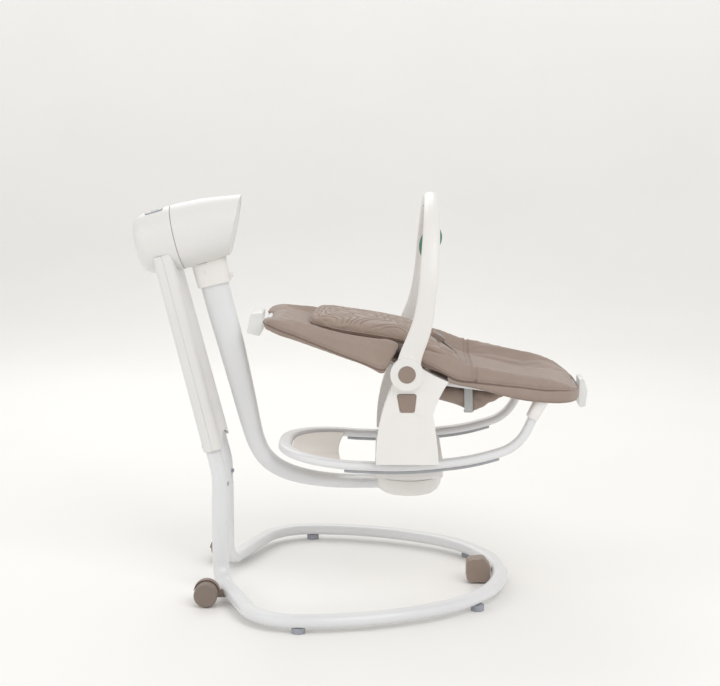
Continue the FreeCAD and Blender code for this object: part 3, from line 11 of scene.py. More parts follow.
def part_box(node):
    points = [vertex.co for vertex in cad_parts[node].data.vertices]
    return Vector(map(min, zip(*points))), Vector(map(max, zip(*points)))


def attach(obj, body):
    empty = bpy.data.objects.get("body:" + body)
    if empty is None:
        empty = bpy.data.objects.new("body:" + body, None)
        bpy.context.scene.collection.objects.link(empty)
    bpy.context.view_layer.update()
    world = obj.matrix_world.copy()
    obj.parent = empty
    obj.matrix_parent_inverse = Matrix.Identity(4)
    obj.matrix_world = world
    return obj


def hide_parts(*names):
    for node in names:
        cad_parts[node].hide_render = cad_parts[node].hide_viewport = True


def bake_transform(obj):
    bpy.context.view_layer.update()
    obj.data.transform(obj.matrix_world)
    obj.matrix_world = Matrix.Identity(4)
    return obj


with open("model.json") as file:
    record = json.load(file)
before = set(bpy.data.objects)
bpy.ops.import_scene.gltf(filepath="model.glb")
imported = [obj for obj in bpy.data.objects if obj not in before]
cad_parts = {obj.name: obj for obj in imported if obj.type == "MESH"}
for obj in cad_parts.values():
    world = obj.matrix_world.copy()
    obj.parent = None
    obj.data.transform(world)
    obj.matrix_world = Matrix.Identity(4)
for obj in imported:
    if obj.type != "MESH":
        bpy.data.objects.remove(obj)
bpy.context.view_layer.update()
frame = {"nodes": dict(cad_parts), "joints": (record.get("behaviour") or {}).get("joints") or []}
NODE = frame["nodes"]
PIVOT = Vector([j for j in frame["joints"] if j["name"] == "backrest_recline"][0]["pos_m"])
scene = bpy.context.scene
scene.view_settings.view_transform = "Standard"
MM = 0.001

# sizes shared by the soft goods, in metres
COVER_VOXEL = 0.005
INSERT_VOXEL = 0.004
PIPING_RADIUS = 0.0017
PIPING_LIFT = 0.0006
THREAD_LIFT = 0.0002
THREAD_ABOVE_PIPING = 0.007
CLOTH_THICK = 0.0016


# ---------------------------------------------------------------- materials

def linear(red, green, blue):
    """An sRGB colour, 0 to 255, as a linear colour."""
    def channel(c):
        return ((c / 255 + 0.055) / 1.055) ** 2.4 if c > 10 else c / 255 / 12.92

    return [channel(c) for c in (red, green, blue)] + [1.0]


def shade(colour, factor):
    return [min(1.0, c * factor) for c in colour[:3]] + [1.0]


class Nodes:
    """A material under construction."""

    def __init__(self, name):
        self.material = bpy.data.materials.new(name)
        self.material.use_nodes = True
        self.tree = self.material.node_tree
        self.surface = self.tree.nodes["Principled BSDF"]
        self.coordinate = self.add("ShaderNodeTexCoord").outputs["Object"]

    def add(self, kind, **settings):
        node = self.tree.nodes.new(kind)
        for key, value in settings.items():
            if hasattr(node, key):
                setattr(node, key, value)
        return node

    def link(self, a, b):
        self.tree.links.new(a, b)

    def noise(self, scale, detail=2.0, roughness=0.5, stretch=None):
        node = self.add("ShaderNodeTexNoise")
        node.inputs["Scale"].default_value = scale
        node.inputs["Detail"].default_value = detail
        node.inputs["Roughness"].default_value = roughness
        source = self.coordinate
        if stretch:
            mapping = self.add("ShaderNodeMapping")
            mapping.inputs["Scale"].default_value = stretch
            self.link(source, mapping.inputs["Vector"])
            source = mapping.outputs["Vector"]
        self.link(source, node.inputs["Vector"])
        return node.outputs["Fac"]

    def wave(self, scale, direction, distortion=0.0):
        node = self.add("ShaderNodeTexWave", wave_type="BANDS", bands_direction=direction)
        node.inputs["Scale"].default_value = scale
        node.inputs["Distortion"].default_value = distortion
        self.link(self.coordinate, node.inputs["Vector"])
        return node.outputs["Fac"]

    def ramp(self, value, low, high, start=0.3, stop=0.7):
        node = self.add("ShaderNodeValToRGB")
        node.color_ramp.elements[0].position = start
        node.color_ramp.elements[0].color = low
        node.color_ramp.elements[1].position = stop
        node.color_ramp.elements[1].color = high
        self.link(value, node.inputs["Fac"])
        return node.outputs["Color"]

    def math(self, operation, a, b):
        node = self.add("ShaderNodeMath", operation=operation)
        for socket, value in zip(node.inputs, (a, b)):
            if isinstance(value, (int, float)):
                socket.default_value = value
            else:
                self.link(value, socket)
        return node.outputs[0]

    def set(self, name, value):
        if isinstance(value, (int, float, list)):
            self.surface.inputs[name].default_value = value
        else:
            self.link(value, self.surface.inputs[name])

    def bump(self, height, strength, distance):
        node = self.add("ShaderNodeBump")
        node.inputs["Strength"].default_value = strength
        node.inputs["Distance"].default_value = distance
        self.link(height, node.inputs["Height"])
        self.link(node.outputs["Normal"], self.surface.inputs["Normal"])


def plastic(name, colour, rough=0.38, grain=700.0, depth=0.00012, vary=0.03, coat=0.0, subsurface=0.0):
    """Moulded plastic: fine spark-eroded grain, slow tone drift and uneven gloss."""
    n = Nodes(name)
    tone = n.noise(9.0, 3.0)
    n.set("Base Color", n.ramp(tone, shade(colour, 1 - vary), shade(colour, 1 + vary * 0.5)))
    n.set("Roughness", n.math("ADD", n.math("MULTIPLY", n.noise(38.0, 4.0, 0.65), 0.14), rough - 0.07))
    n.set("Coat Weight", coat)
    n.set("Coat Roughness", 0.25)
    if subsurface:
        n.set("Subsurface Weight", subsurface)
        n.set("Subsurface Scale", 0.004)
    n.bump(n.noise(grain, 2.0, 0.6), 0.35, depth)
    return n.material


def paint(name, colour, rough=0.32):
    """Powder coat on steel tube: soft orange peel under a thin gloss."""
    n = Nodes(name)
    n.set("Base Color", n.ramp(n.noise(6.0, 3.0), shade(colour, 0.97), shade(colour, 1.01)))
    n.set("Roughness", n.math("ADD", n.math("MULTIPLY", n.noise(55.0, 3.0), 0.12), rough - 0.06))
    n.set("Coat Weight", 0.25)
    n.set("Coat Roughness", 0.18)
    n.bump(n.noise(260.0, 2.0, 0.5), 0.28, 0.00022)
    return n.material


def cloth(name, colour, pitch=0.9, rough=0.85, mottle=0.07, sheen=0.25, depth=0.0003):
    """Woven cloth: warp and weft ribs, slubs, and a slow uneven tone."""
    n = Nodes(name)
    scale = 1.0 / (pitch * MM) / 6.2832 * 3.1416
    warp = n.math("MULTIPLY", n.wave(scale, "X", 0.6), 0.5)
    weft = n.math("MULTIPLY", n.wave(scale * 1.07, "Y", 0.6), 0.5)
    rise = n.math("MULTIPLY", n.wave(scale * 0.97, "Z", 0.6), 0.35)
    weave = n.math("ADD", n.math("MAXIMUM", warp, weft), rise)
    slub = n.noise(900.0, 3.0, 0.7)
    height = n.math("ADD", n.math("MULTIPLY", weave, 0.7), n.math("MULTIPLY", slub, 0.6))
    tone = n.math("ADD", n.math("MULTIPLY", n.noise(14.0, 4.0, 0.6), 0.55), n.math("MULTIPLY", slub, 0.45))
    n.set("Base Color", n.ramp(tone, shade(colour, 1 - mottle), shade(colour, 1 + mottle), 0.35, 0.65))
    n.set("Roughness", n.math("ADD", n.math("MULTIPLY", weave, 0.1), rough - 0.08))
    n.set("Sheen Weight", sheen)
    n.set("Sheen Roughness", 0.45)
    n.set("Specular IOR Level", 0.22)
    n.bump(height, 0.4, depth)
    return n.material


def metal(name, colour, rough=0.3):
    """Bare metal with fine brushed lines."""
    n = Nodes(name)
    n.set("Base Color", n.ramp(n.noise(30.0, 3.0), shade(colour, 0.9), colour))
    n.set("Metallic", 1.0)
    brushed = n.noise(400.0, 2.0, 0.5, (1, 1, 14))
    n.set("Roughness", n.math("ADD", n.math("MULTIPLY", brushed, 0.2), rough - 0.1))
    n.bump(n.noise(500.0, 2.0, 0.5, (1, 1, 20)), 0.15, 0.0001)
    return n.material


def wax(name, colour, rough=0.6, grain=420.0):
    """Rubber and soft grips: matt, faintly dusty."""
    n = Nodes(name)
    n.set("Base Color", n.ramp(n.noise(60.0, 5.0, 0.7), shade(colour, 0.88), shade(colour, 1.1)))
    n.set("Roughness", n.math("ADD", n.math("MULTIPLY", n.noise(90.0, 4.0), 0.2), rough - 0.1))
    n.bump(n.noise(grain, 3.0, 0.6), 0.3, 0.0002)
    return n.material


WHITE = plastic("white_shell", linear(236, 234, 231), 0.36, vary=0.018, subsurface=0.04)
HEAD_WHITE = plastic("head_shell", linear(228, 227, 225), 0.34, vary=0.018, subsurface=0.04)
BAR_WHITE = plastic("bar_shell", linear(231, 229, 226), 0.36, vary=0.018)
FRAME = paint("frame_paint", linear(228, 229, 231))
ARM = paint("arm_paint", linear(228, 229, 231), 0.38)
WEB = plastic("web_shell", linear(226, 221, 213), 0.5, vary=0.03)
TAUPE = plastic("taupe_shell", linear(147, 130, 119), 0.5, grain=520, depth=0.0002, vary=0.05)
GREY = plastic("grey_shell", linear(150, 158, 168), 0.42, vary=0.05)
CLEAR = plastic("milky_shell", linear(226, 227, 226), 0.3, vary=0.02)
RUBBER = wax("grey_rubber", linear(160, 163, 172))
STRIP = wax("strip_rubber", linear(170, 172, 177), 0.55)
TYRE = wax("roller", linear(112, 104, 98), 0.55)
ROLLER = plastic("taupe_roller", linear(133, 119, 109), 0.5, vary=0.04)
STEEL = metal("plain_steel", linear(188, 188, 190))
SCREW = metal("dark_screw", linear(92, 90, 88), 0.4)
BOARD = plastic("board", linear(38, 92, 60), 0.4, vary=0.12)
FABRIC = cloth("cover_cloth", linear(158, 141, 131))
INSERT = cloth("insert_knit", linear(164, 146, 135), 1.3, 0.92, 0.09, 0.4, 0.0005)
PIPING = cloth("piping_cloth", linear(126, 109, 100), 0.8, 0.8, 0.06, 0.15)
THREAD = cloth("thread", linear(138, 122, 112), 0.4, 0.7, 0.05, 0.1, 0.0001)
STRAP = cloth("grey_webbing", linear(186, 188, 188), 1.6, 0.75, 0.06, 0.15, 0.0004)
HARNESS = cloth("harness_webbing", linear(128, 118, 112), 1.6, 0.75, 0.06, 0.15, 0.0004)
LEAF = cloth("leaf_plush", linear(96, 136, 116), 1.4, 0.95, 0.16, 0.5, 0.0008)
DARK_LOOP = cloth("toy_loop", linear(58, 66, 66), 1.2, 0.8, 0.1, 0.1)

FINISH = {
    "base_tube": FRAME, "upper_leg_left": FRAME, "upper_leg_right": FRAME, "leg_button_left": GREY,
    "leg_button_right": GREY, "base_feet": RUBBER, "column_front_cover": HEAD_WHITE,
    "column_rear_cover": HEAD_WHITE,
    "housing_screws": SCREW, "head_rear_shell": HEAD_WHITE, "head_front_shell": HEAD_WHITE,
    "head_front_cap": HEAD_WHITE, "arm_socket": WHITE, "arm_release_button": WHITE, "swing_arm": ARM,
    "sector_gear": WEB, "motor_pinion": WEB, "swing_shaft": STEEL, "drive_motor": STEEL,
    "motor_chassis": STEEL, "swing_bearings": STEEL, "control_panel": GREY, "power_button": WHITE,
    "speed_dial": WHITE, "circuit_board": BOARD, "adapter_socket": TYRE, "rear_wheel_left": ROLLER,
    "rear_wheel_right": ROLLER, "front_wheel": ROLLER, "front_wheel_housing": TAUPE, "wheel_hoods": TAUPE,
    "wheel_axles": STEEL, "hub_bowl": WHITE, "turntable": WHITE, "rocker_tube": FRAME, "rail_strips": STRIP,
    "rocker_web": WEB, "rocker_bridge": WHITE, "side_panel_left": WHITE, "side_panel_right": WHITE,
    "release_button_left": TAUPE, "release_button_right": TAUPE, "inner_panels": WHITE, "toy_bar": BAR_WHITE,
    "toy_bar_button_left": TAUPE, "toy_bar_button_right": TAUPE, "leg_frame": FRAME,
    "backrest_frame": FRAME, "recline_handle": CLEAR, "foot_clip": CLEAR, "riser_sockets": WHITE,
    "harness_buckle": TAUPE, "buckle_button": GREY,
}
SMOOTH = ("swing_arm", "toy_bar", "base_tube", "upper_leg_left", "upper_leg_right", "rocker_tube",
          "leg_frame", "backrest_frame")


def dress(name, finish):
    """A CAD node keeps its shape and gets its finish and softened edges."""
    item = NODE[name]
    item.data.materials.clear()
    item.data.materials.append(finish)
    weld = item.modifiers.new("weld", "WELD")
    weld.merge_threshold = 0.00002
    if name not in SMOOTH:
        bevel = item.modifiers.new("edges", "BEVEL")
        bevel.width = 0.0007
        bevel.segments = 2
        bevel.limit_method = "ANGLE"
        bevel.angle_limit = math.radians(40)


for node_name, finish in FINISH.items():
    dress(node_name, finish)


# ---------------------------------------------------------------- helpers for soft goods

def table(points):
    """A function that interpolates smoothly through (x, value) pairs, in millimetres."""
    xs = np.array([p[0] for p in points], float)
    ys = np.array([p[1] for p in points], float)
    slopes = np.gradient(ys, xs)

    def value(x):
        x = np.clip(x, xs[0], xs[-1])
        i = np.clip(np.searchsorted(xs, x) - 1, 0, len(xs) - 2)
        h = xs[i + 1] - xs[i]
        t = (x - xs[i]) / h
        a = (1 + 2 * t) * (1 - t) ** 2 * ys[i] + t * (1 - t) ** 2 * h * slopes[i]
        b = t * t * (3 - 2 * t) * ys[i + 1] + t * t * (t - 1) * h * slopes[i + 1]
        return a + b

    return value


def at(x, y, z):
    """A point given in millimetres from the recline pivot, in the row frame."""
    return Vector((PIVOT.x + x * MM, y * MM, PIVOT.z + z * MM))


def new_object(name, verts, faces, finish=None):
    mesh = bpy.data.meshes.new(name)
    mesh.from_pydata([tuple(v) for v in verts], [], faces)
    mesh.update()
    item = bpy.data.objects.new(name, mesh)
    scene.collection.objects.link(item)
    if finish:
        mesh.materials.append(finish)
    for polygon in mesh.polygons:
        polygon.use_smooth = True
    return item


def lofted(name, rings, finish=None, closed=True):
    """A skin through equal rings of points, capped at both ends."""
    count = len(rings[0])
    verts = [p for ring in rings for p in ring]
    faces = []
    span = count if closed else count - 1
    for i in range(len(rings) - 1):
        for j in range(span):
            k = (j + 1) % count
            faces.append((i * count + j, i * count + k, (i + 1) * count + k, (i + 1) * count + j))
    if closed:
        faces.append(tuple(range(count))[::-1])
        faces.append(tuple((len(rings) - 1) * count + j for j in range(count)))
    item = new_object(name, verts, faces, finish)
    bm = bmesh.new()
    bm.from_mesh(item.data)
    bmesh.ops.recalc_face_normals(bm, faces=bm.faces)
    bm.to_mesh(item.data)
    bm.free()
    return item


def apply_modifiers(item):
    """Turns the evaluated mesh into the object's own mesh."""
    graph = bpy.context.evaluated_depsgraph_get()
    mesh = bpy.data.meshes.new_from_object(item.evaluated_get(graph))
    item.modifiers.clear()
    item.data = mesh
    for polygon in mesh.polygons:
        polygon.use_smooth = True


def points_of(item):
    co = np.empty(len(item.data.vertices) * 3)
    item.data.vertices.foreach_get("co", co)
    return co.reshape(-1, 3)


def set_points(item, co):
    item.data.vertices.foreach_set("co", np.ascontiguousarray(co).ravel())
    item.data.update()


def normals_of(item):
    no = np.empty(len(item.data.vertices) * 3)
    item.data.vertices.foreach_get("normal", no)
    return no.reshape(-1, 3)


def local(co):
    """Row-frame points as millimetres from the pivot."""
    return (co - np.array(PIVOT)) / MM


def remesh(item, voxel):
    """An even skin of small faces in place of the long ones, so that cloth can fold."""
    modifier = item.modifiers.new("remesh", "REMESH")
    modifier.mode = "VOXEL"
    modifier.voxel_size = voxel
    apply_modifiers(item)


def inflate(item, hold, pressure=4.0, cap=0.008, frames=20):
    """Fills a closed form with air by cloth simulation; hold gives each point's grip on its place."""
    start = points_of(item)
    group = item.vertex_groups.new(name="hold")
    for i, weight in enumerate(hold(local(start))):
        if weight > 0:
            group.add([i], float(min(weight, 1.0)), "REPLACE")
    modifier = item.modifiers.new("cloth", "CLOTH")
    settings = modifier.settings
    settings.quality = 6
    settings.mass = 0.25
    settings.tension_stiffness = 25
    settings.compression_stiffness = 8
    settings.bending_stiffness = 0.6
    settings.use_pressure = True
    settings.uniform_pressure_force = pressure
    settings.vertex_group_mass = "hold"
    settings.pin_stiffness = 2.0
    settings.effector_weights.gravity = 0.0
    modifier.collision_settings.use_collision = False
    modifier.point_cache.frame_start = 1
    modifier.point_cache.frame_end = frames
    for number in range(1, frames + 1):
        scene.frame_set(number)
    apply_modifiers(item)
    scene.frame_set(1)
    move = points_of(item) - start
    length = np.linalg.norm(move, axis=1, keepdims=True)
    move *= np.minimum(1.0, cap / np.maximum(length, 1e-9))
    set_points(item, start + move)


def subdivide(item, levels=1):
    modifier = item.modifiers.new("subdivide", "SUBSURF")
    modifier.levels = levels
    modifier.render_levels = levels
    apply_modifiers(item)


def groove(item, distance, depth, width):
    """Presses a seam in: distance(points) is how far each point is from it, in millimetres."""
    co = points_of(item)
    d = np.abs(distance(local(co)))
    swell = 0.35 * np.exp(-((d - 2.6 * width) / (1.3 * width)) ** 2)
    push = depth * np.exp(-(d / width) ** 2) - depth * swell
    set_points(item, co - normals_of(item) * (push * MM)[:, None])


def creases(item, field, depth):
    """Soft folds: field(points) is a height between -1 and 1."""
    co = points_of(item)
    set_points(item, co + normals_of(item) * (field(local(co)) * depth * MM)[:, None])


def smooth_noise(p, scale, seed):
    """A cheap repeatable smooth noise from a few sines."""
    rng = np.random.RandomState(seed)
    total = np.zeros(len(p))
    for _ in range(6):
        direction = rng.normal(size=3)
        direction /= np.linalg.norm(direction)
        total += np.sin(p @ direction * scale * rng.uniform(0.6, 1.6) + rng.uniform(0, 6.28))
    return total / 3.5


def cord_mesh(name, points, radius, finish, closed=False, sides=8):
    """A round bead along a line of points: piping, thread and cord edges."""
    count = len(points)
    rings = []
    for i, p in enumerate(points):
        before = points[i - 1] if closed or i else points[0]
        after = points[(i + 1) % count] if closed or i + 1 < count else points[-1]
        ahead = (after - before).normalized()
        side = ahead.cross(Vector((0.13, 0.07, 1.0))).normalized()
        up = side.cross(ahead).normalized()
        rings.append([p + (side * math.cos(a) + up * math.sin(a)) * radius
                      for a in [2 * math.pi * j / sides for j in range(sides)]])
    if closed:
        rings.append(rings[0])
        verts = [v for ring in rings[:-1] for v in ring]
        faces = []
        for i in range(count):
            for j in range(sides):
                k = (j + 1) % sides
                n = (i + 1) % count
                faces.append((i * sides + j, i * sides + k, n * sides + k, n * sides + j))
        return new_object(name, verts, faces, finish)
    return lofted(name, rings, finish)


def snapped(points, target, lift=0.0):
    """Points dropped on a mesh's surface, lifted along its normal."""
    bm = bmesh.new()
    bm.from_mesh(target.data)
    tree = BVHTree.FromBMesh(bm)
    out = []
    for p in points:
        hit, normal, _, _ = tree.find_nearest(p)
        out.append(hit + normal * lift if hit else p)
    bm.free()
    return out


def softened(points, rounds=2, closed=False):
    """A line of points with its small jumps averaged out."""
    out = list(points)
    for _ in range(rounds):
        ends = range(len(out)) if closed else range(1, len(out) - 1)
        copy = list(out)
        for i in ends:
            out[i] = (copy[i - 1] + copy[i] * 2 + copy[(i + 1) % len(out)]) / 4
    return out


def stitches(name, points, finish=THREAD, length=0.0032, pitch=0.0048, radius=0.0004):
    """A row of short thread stitches along a line."""
    verts, faces = [], []
    travel, mark = 0.0, pitch
    for a, b in zip(points, points[1:]):
        step = (b - a).length
        while travel + step >= mark and step > 0:
            centre = a.lerp(b, (mark - travel) / step)
            ahead = (b - a).normalized()
            side = ahead.cross(Vector((0.1, 0.2, 1.0))).normalized()
            up = side.cross(ahead)
            base = len(verts)
            for t, r in ((-0.5, 0.3), (-0.3, 1.0), (0.3, 1.0), (0.5, 0.3)):
                for k in range(6):
                    angle = math.pi * k / 3
                    round_it = (side * math.cos(angle) + up * math.sin(angle)) * r * radius
                    verts.append(centre + ahead * t * length + round_it)
            for ring in range(3):
                first = base + ring * 6
                for k in range(6):
                    m = (k + 1) % 6
                    faces.append((first + k, first + m, first + 6 + m, first + 6 + k))
            mark += pitch
        travel += step
    return new_object(name, verts, faces, finish)


def join(name, items):
    """Several meshes as one object, each keeping its material."""
    bpy.context.view_layer.update()
    for item in items:
        item.select_set(True)
    with bpy.context.temp_override(active_object=items[0], object=items[0], selected_objects=items,
                                   selected_editable_objects=items):
        bpy.ops.object.join()
    items[0].name = name
    items[0].select_set(False)
    return items[0]


# ---------------------------------------------------------------- the leg section of the cover

# Each table gives a height or a half width at X, in millimetres.
LEG_RIM = table([(22, 52), (60, 43), (73, 40), (105, 28), (136, 16.5), (152, 14), (208, 3), (264, -8),
                 (320, -21), (350, -33.5), (374, -49)])
LEG_PIPE = table([(22, 24), (40, 14), (59, 5), (99, -18), (139, -23), (189, -28), (239, -33), (289, -41),
                  (329, -45), (374, -56)])
LEG_SKIRT = table([(80, -18), (99, -24), (139, -32), (189, -45), (239, -57), (289, -64), (329, -68),
                   (374, -70)])
LEG_HALF = table([(22, 198), (60, 202), (140, 204), (240, 203), (285, 195), (325, 178), (350, 150),
                  (366, 106), (374, 48)])


def leg_ring(x, inset=0.0):
    """Half the cross-section of the leg section, from the bottom middle round to the top middle."""
    half = float(LEG_HALF(x)) - inset
    rim = float(LEG_RIM(x)) - inset
    pipe = float(LEG_PIPE(x))
    fade = min(1.0, max(0.0, (352 - x) / 90))
    floor = rim - 5 - 23 * fade
    under = min(pipe - 1, floor - 13) + inset
    narrow = max(0.25, half / 204)
    underside = [(0.0, under + 3), (0.55 * half, under + 2), (half - 14 * narrow, under)]
    outside = [(half - 2, pipe + 3), (half - 1, pipe + 0.35 * (rim - pipe)),
               (half - 7 * narrow, pipe + 0.75 * (rim - pipe)), (half - 18 * narrow, rim)]
    inside = [(half - 29 * narrow, rim - 5), (half - 44 * narrow, (rim + floor) / 2 - 3),
              (half - 60 * narrow, floor + 1), (0.45 * half, floor - 1), (0.0, floor - 2)]
    return underside + outside + inside


def full_ring(x, half_points):
    left = [at(x, y, z) for y, z in half_points]
    right = [at(x, -y, z) for y, z in half_points[1:-1]]
    return left + right[::-1]


def build_leg_section():
    """The padded tray under the legs: cushion, piping, thread, a cross seam, and the skirt below."""
    xs = [22, 40, 60, 80, 100, 120, 140, 165, 190, 215, 240, 265, 290, 310, 328, 344, 356, 365, 370.5]
    item = lofted("leg_cover", [full_ring(x, leg_ring(x, 2.0)) for x in xs])
    remesh(item, COVER_VOXEL)

    def hold(p):
        side = np.abs(p[:, 1]) > LEG_HALF(p[:, 0]) - 9
        near_pipe = np.exp(-((p[:, 2] - LEG_PIPE(p[:, 0])) / 6.0) ** 2) * side
        seam = np.exp(-((p[:, 0] - 140) / 5.0) ** 2)
        under = (p[:, 2] < LEG_PIPE(p[:, 0]) - 0.5) * 0.8
        ends = np.exp(-((p[:, 0] - 22) / 6.0) ** 2)
        return np.maximum.reduce([near_pipe, seam, under, ends])

    inflate(item, hold, 4.0, 0.006)
    subdivide(item)
    groove(item, lambda p: p[:, 0] - 140 + 0.05 * (p[:, 2] - 10), 2.4, 2.2)
    creases(item, lambda p: smooth_noise(p * [1, 1, 2], 0.035, 5) * 0.5
            + np.exp(-((p[:, 0] - 140) / 26) ** 2) * np.sin(p[:, 2] * 0.35 + p[:, 1] * 0.1) * 0.35, 0.7)
    item.data.materials.append(FABRIC)

    line = []
    for x in np.concatenate([np.linspace(30, 330, 90), np.linspace(332, 372, 26)]):
        half = float(LEG_HALF(x))
        line.append(at(x, -half, float(LEG_PIPE(x))))
    far = [Vector((p.x, -p.y, p.z)) for p in line[::-1]]
    run = softened(snapped(line + far, item, PIPING_LIFT), 3)
    piping = cord_mesh("leg_piping", run, PIPING_RADIUS, PIPING)
    lift = Vector((0, 0, THREAD_ABOVE_PIPING))
    above = softened(snapped([p + lift for p in run], item, THREAD_LIFT), 3)
    thread = stitches("leg_thread", above)
    seam_lines = []
    for offset in (-5.5, 5.5):
        points = []
        for half_point in leg_ring(140 + offset, -3.0)[3:]:
            points.append(at(140 + offset, -half_point[0], half_point[1]))
        points += [Vector((p.x, -p.y, p.z)) for p in points[::-1][1:]]
        dense = []
        for a, b in zip(points, points[1:]):
            dense += [a.lerp(b, t / 8) for t in range(8)]
        seam_lines.append(stitches("seam_thread", softened(snapped(dense, item, THREAD_LIFT), 2)))

    rings = []
    for x in np.concatenate([np.linspace(84, 320, 48), np.linspace(325, 371, 14)]):
        half = float(LEG_HALF(x))
        top = float(LEG_PIPE(x))
        low = min(float(LEG_SKIRT(x)), top - 5)
        ripple = 1.2 * math.sin(x * 0.11) + 0.8 * math.sin(x * 0.27 + 1)
        rings.append([(x, half - 9.0, top + 4), (x, half - 1.5, top + 0.5),
                      (x, half - 0.5 + 0.4 * ripple, top - 0.35 * (top - low)),
                      (x, half - 1.5 + 0.8 * ripple, top - 0.75 * (top - low)), (x, half - 6, low + 1.5),
                      (x, half - 16, low + 3.5), (x, half - 30, low + 9)])
    near = [[at(x, -y, z) for x, y, z in ring] for ring in rings]
    beyond = [[at(x, y, z) for x, y, z in ring] for ring in rings[::-1]]
    skirt = lofted("leg_skirt", near + beyond, FABRIC, closed=False)
    solid = skirt.modifiers.new("thickness", "SOLIDIFY")
    solid.thickness = CLOTH_THICK
    solid.offset = 0
    apply_modifiers(skirt)
    subdivide(skirt)
    hem_line = [ring[4] for ring in near] + [ring[4] for ring in beyond]
    hem = cord_mesh("skirt_hem", softened(hem_line, 3), 0.0014, FABRIC)
    whole = join("leg_cover", [item, piping, thread, *seam_lines, skirt, hem])
    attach(whole, "rocker")
    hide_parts("leg_cushion")
    return whole


# ---------------------------------------------------------------- the back section of the cover

BACK_RIM = table([(-303, 100), (-288, 103), (-250, 98), (-210, 92), (-170, 81.5), (-130, 73), (-90, 66.5),
                  (-50, 61), (-14, 56)])
BACK_PIPE = table([(-303, 90), (-291, 87), (-251, 74), (-211, 60), (-171, 47), (-131, 33), (-91, 19),
                   (-51, 4), (-30, 6)])
BACK_HALF = table([(-304, 88), (-300, 112), (-288, 130), (-230, 154), (-170, 182), (-110, 199), (-60, 199),
                   (-14, 198)])


BACK_DROP = table([(-303, 15), (-250, 15), (-200, 12), (-130, 8), (-80, 8), (-40, 14)])


def back_ring(x, inset=0.0):
    """Half the cross-section of the back section, from the bottom middle round to the top middle."""
    half = float(BACK_HALF(x)) - inset
    rim = float(BACK_RIM(x)) - inset
    pipe = float(BACK_PIPE(x))
    fade = min(1.0, max(0.0, (x + 285) / 70))
    floor = rim - 2 - 12 * fade
    under = pipe - float(BACK_DROP(x)) + inset
    narrow = max(0.35, half / 200)
    underside = [(0.0, under + 5), (0.55 * half, under + 4), (half - 26 * narrow, under + 1),
                 (half - 9, under + 1.5)]
    outside = [(half - 1, pipe), (half - 1.5, pipe + 0.4 * (rim - pipe)),
               (half - 8 * narrow, pipe + 0.8 * (rim - pipe)), (half - 22 * narrow, rim)]
    inside = [(half - 40 * narrow, rim - 1), (half - 56 * narrow, (rim + floor) / 2),
              (half - 72 * narrow, floor + 1), (0.4 * half, floor), (0.0, floor)]
    return underside + outside + inside


def build_back_section():
    """The padded tray under the back."""
    xs = [-302, -296, -288, -275, -258, *range(-240, -59, 20), -46, -34, -24]
    rings = []
    for x in xs:
        ring = []
        for y, z in back_ring(x, 2.0):
            slant = 0.0
            if x > -60:
                slant = (x + 60) / 36 * 0.6 * (z - 35)
            ring.append((x + slant, y, z))
        left = [at(*p) for p in ring]
        right = [at(p[0], -p[1], p[2]) for p in ring[1:-1]]
        rings.append(left + right[::-1])
    item = lofted("back_cover", rings)
    remesh(item, COVER_VOXEL)

    def hold(p):
        side = np.abs(p[:, 1]) > BACK_HALF(p[:, 0]) - 9
        near_pipe = np.exp(-((p[:, 2] - BACK_PIPE(p[:, 0])) / 6.0) ** 2) * side
        under = (p[:, 2] < BACK_PIPE(p[:, 0]) + 6) * (np.abs(p[:, 1]) < BACK_HALF(p[:, 0]) - 12) * 0.8
        return np.maximum(near_pipe, under)

    inflate(item, hold, 4.0, 0.006)
    subdivide(item)

    def folds(p):
        pull = np.exp(-((p[:, 0] + 268) / 24) ** 2) * np.sin(p[:, 1] * 0.12 + p[:, 0] * 0.05)
        corner = np.exp(-((p[:, 0] + 30) / 26) ** 2) * np.sin((p[:, 2] * 0.8 + p[:, 0]) * 0.23)
        return smooth_noise(p * [1, 1, 2], 0.032, 11) * 0.5 + pull * 0.7 + corner * 0.7

    creases(item, folds, 0.9)
    notch = points_of(item)
    p = local(notch)
    dip = np.exp(-((p[:, 1]) / 52) ** 8) * np.exp(-((p[:, 0] + 306) / 20) ** 2)
    notch[:, 0] += dip * 0.012
    notch[:, 2] -= dip * 0.004
    set_points(item, notch)
    item.data.materials.append(FABRIC)

    line = []
    for x in np.concatenate([np.linspace(-40, -270, 80), np.linspace(-273, -302, 16)]):
        line.append(at(x, -float(BACK_HALF(x)), float(BACK_PIPE(x))))
    near = softened(snapped(line, item, PIPING_LIFT), 3)
    far = [Vector((q.x, -q.y, q.z)) for q in near[::-1]]
    bridge = [near[-1].lerp(far[0], t / 30) for t in range(1, 30)]
    bridge = softened(snapped(bridge, item, PIPING_LIFT), 4)
    run = near + bridge + far
    piping = cord_mesh("back_piping", run, PIPING_RADIUS, PIPING)
    lift = Vector((0, 0, THREAD_ABOVE_PIPING))
    above = softened(snapped([q + lift for q in run], item, THREAD_LIFT), 3)
    thread = stitches("back_thread", above)
    whole = join("back_cover", [item, piping, thread])
    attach(whole, "backrest")
    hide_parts("back_cushion")
    return whole


# ---------------------------------------------------------------- the quilted insert

INSERT_TOP = table([(-206, 92), (-200, 101), (-185, 105), (-133, 99), (-87, 93), (-36, 84), (0, 77), (23, 70),
                    (45, 54), (73, 35), (100, 17), (120, 2), (127, -6)])
INSERT_LOW = table([(-206, 81), (-200, 79), (-170, 68), (-130, 60.5), (-90, 54), (-36, 46), (0, 38), (23, 29),
                    (45, 18), (73, 6), (100, -3), (120, -10), (127, -11)])
INSERT_HALF = table([(-207, 34), (-200, 74), (-180, 100), (-120, 113), (-60, 114), (0, 110), (40, 100),
                     (73, 88), (100, 66), (118, 40), (127, 14)])


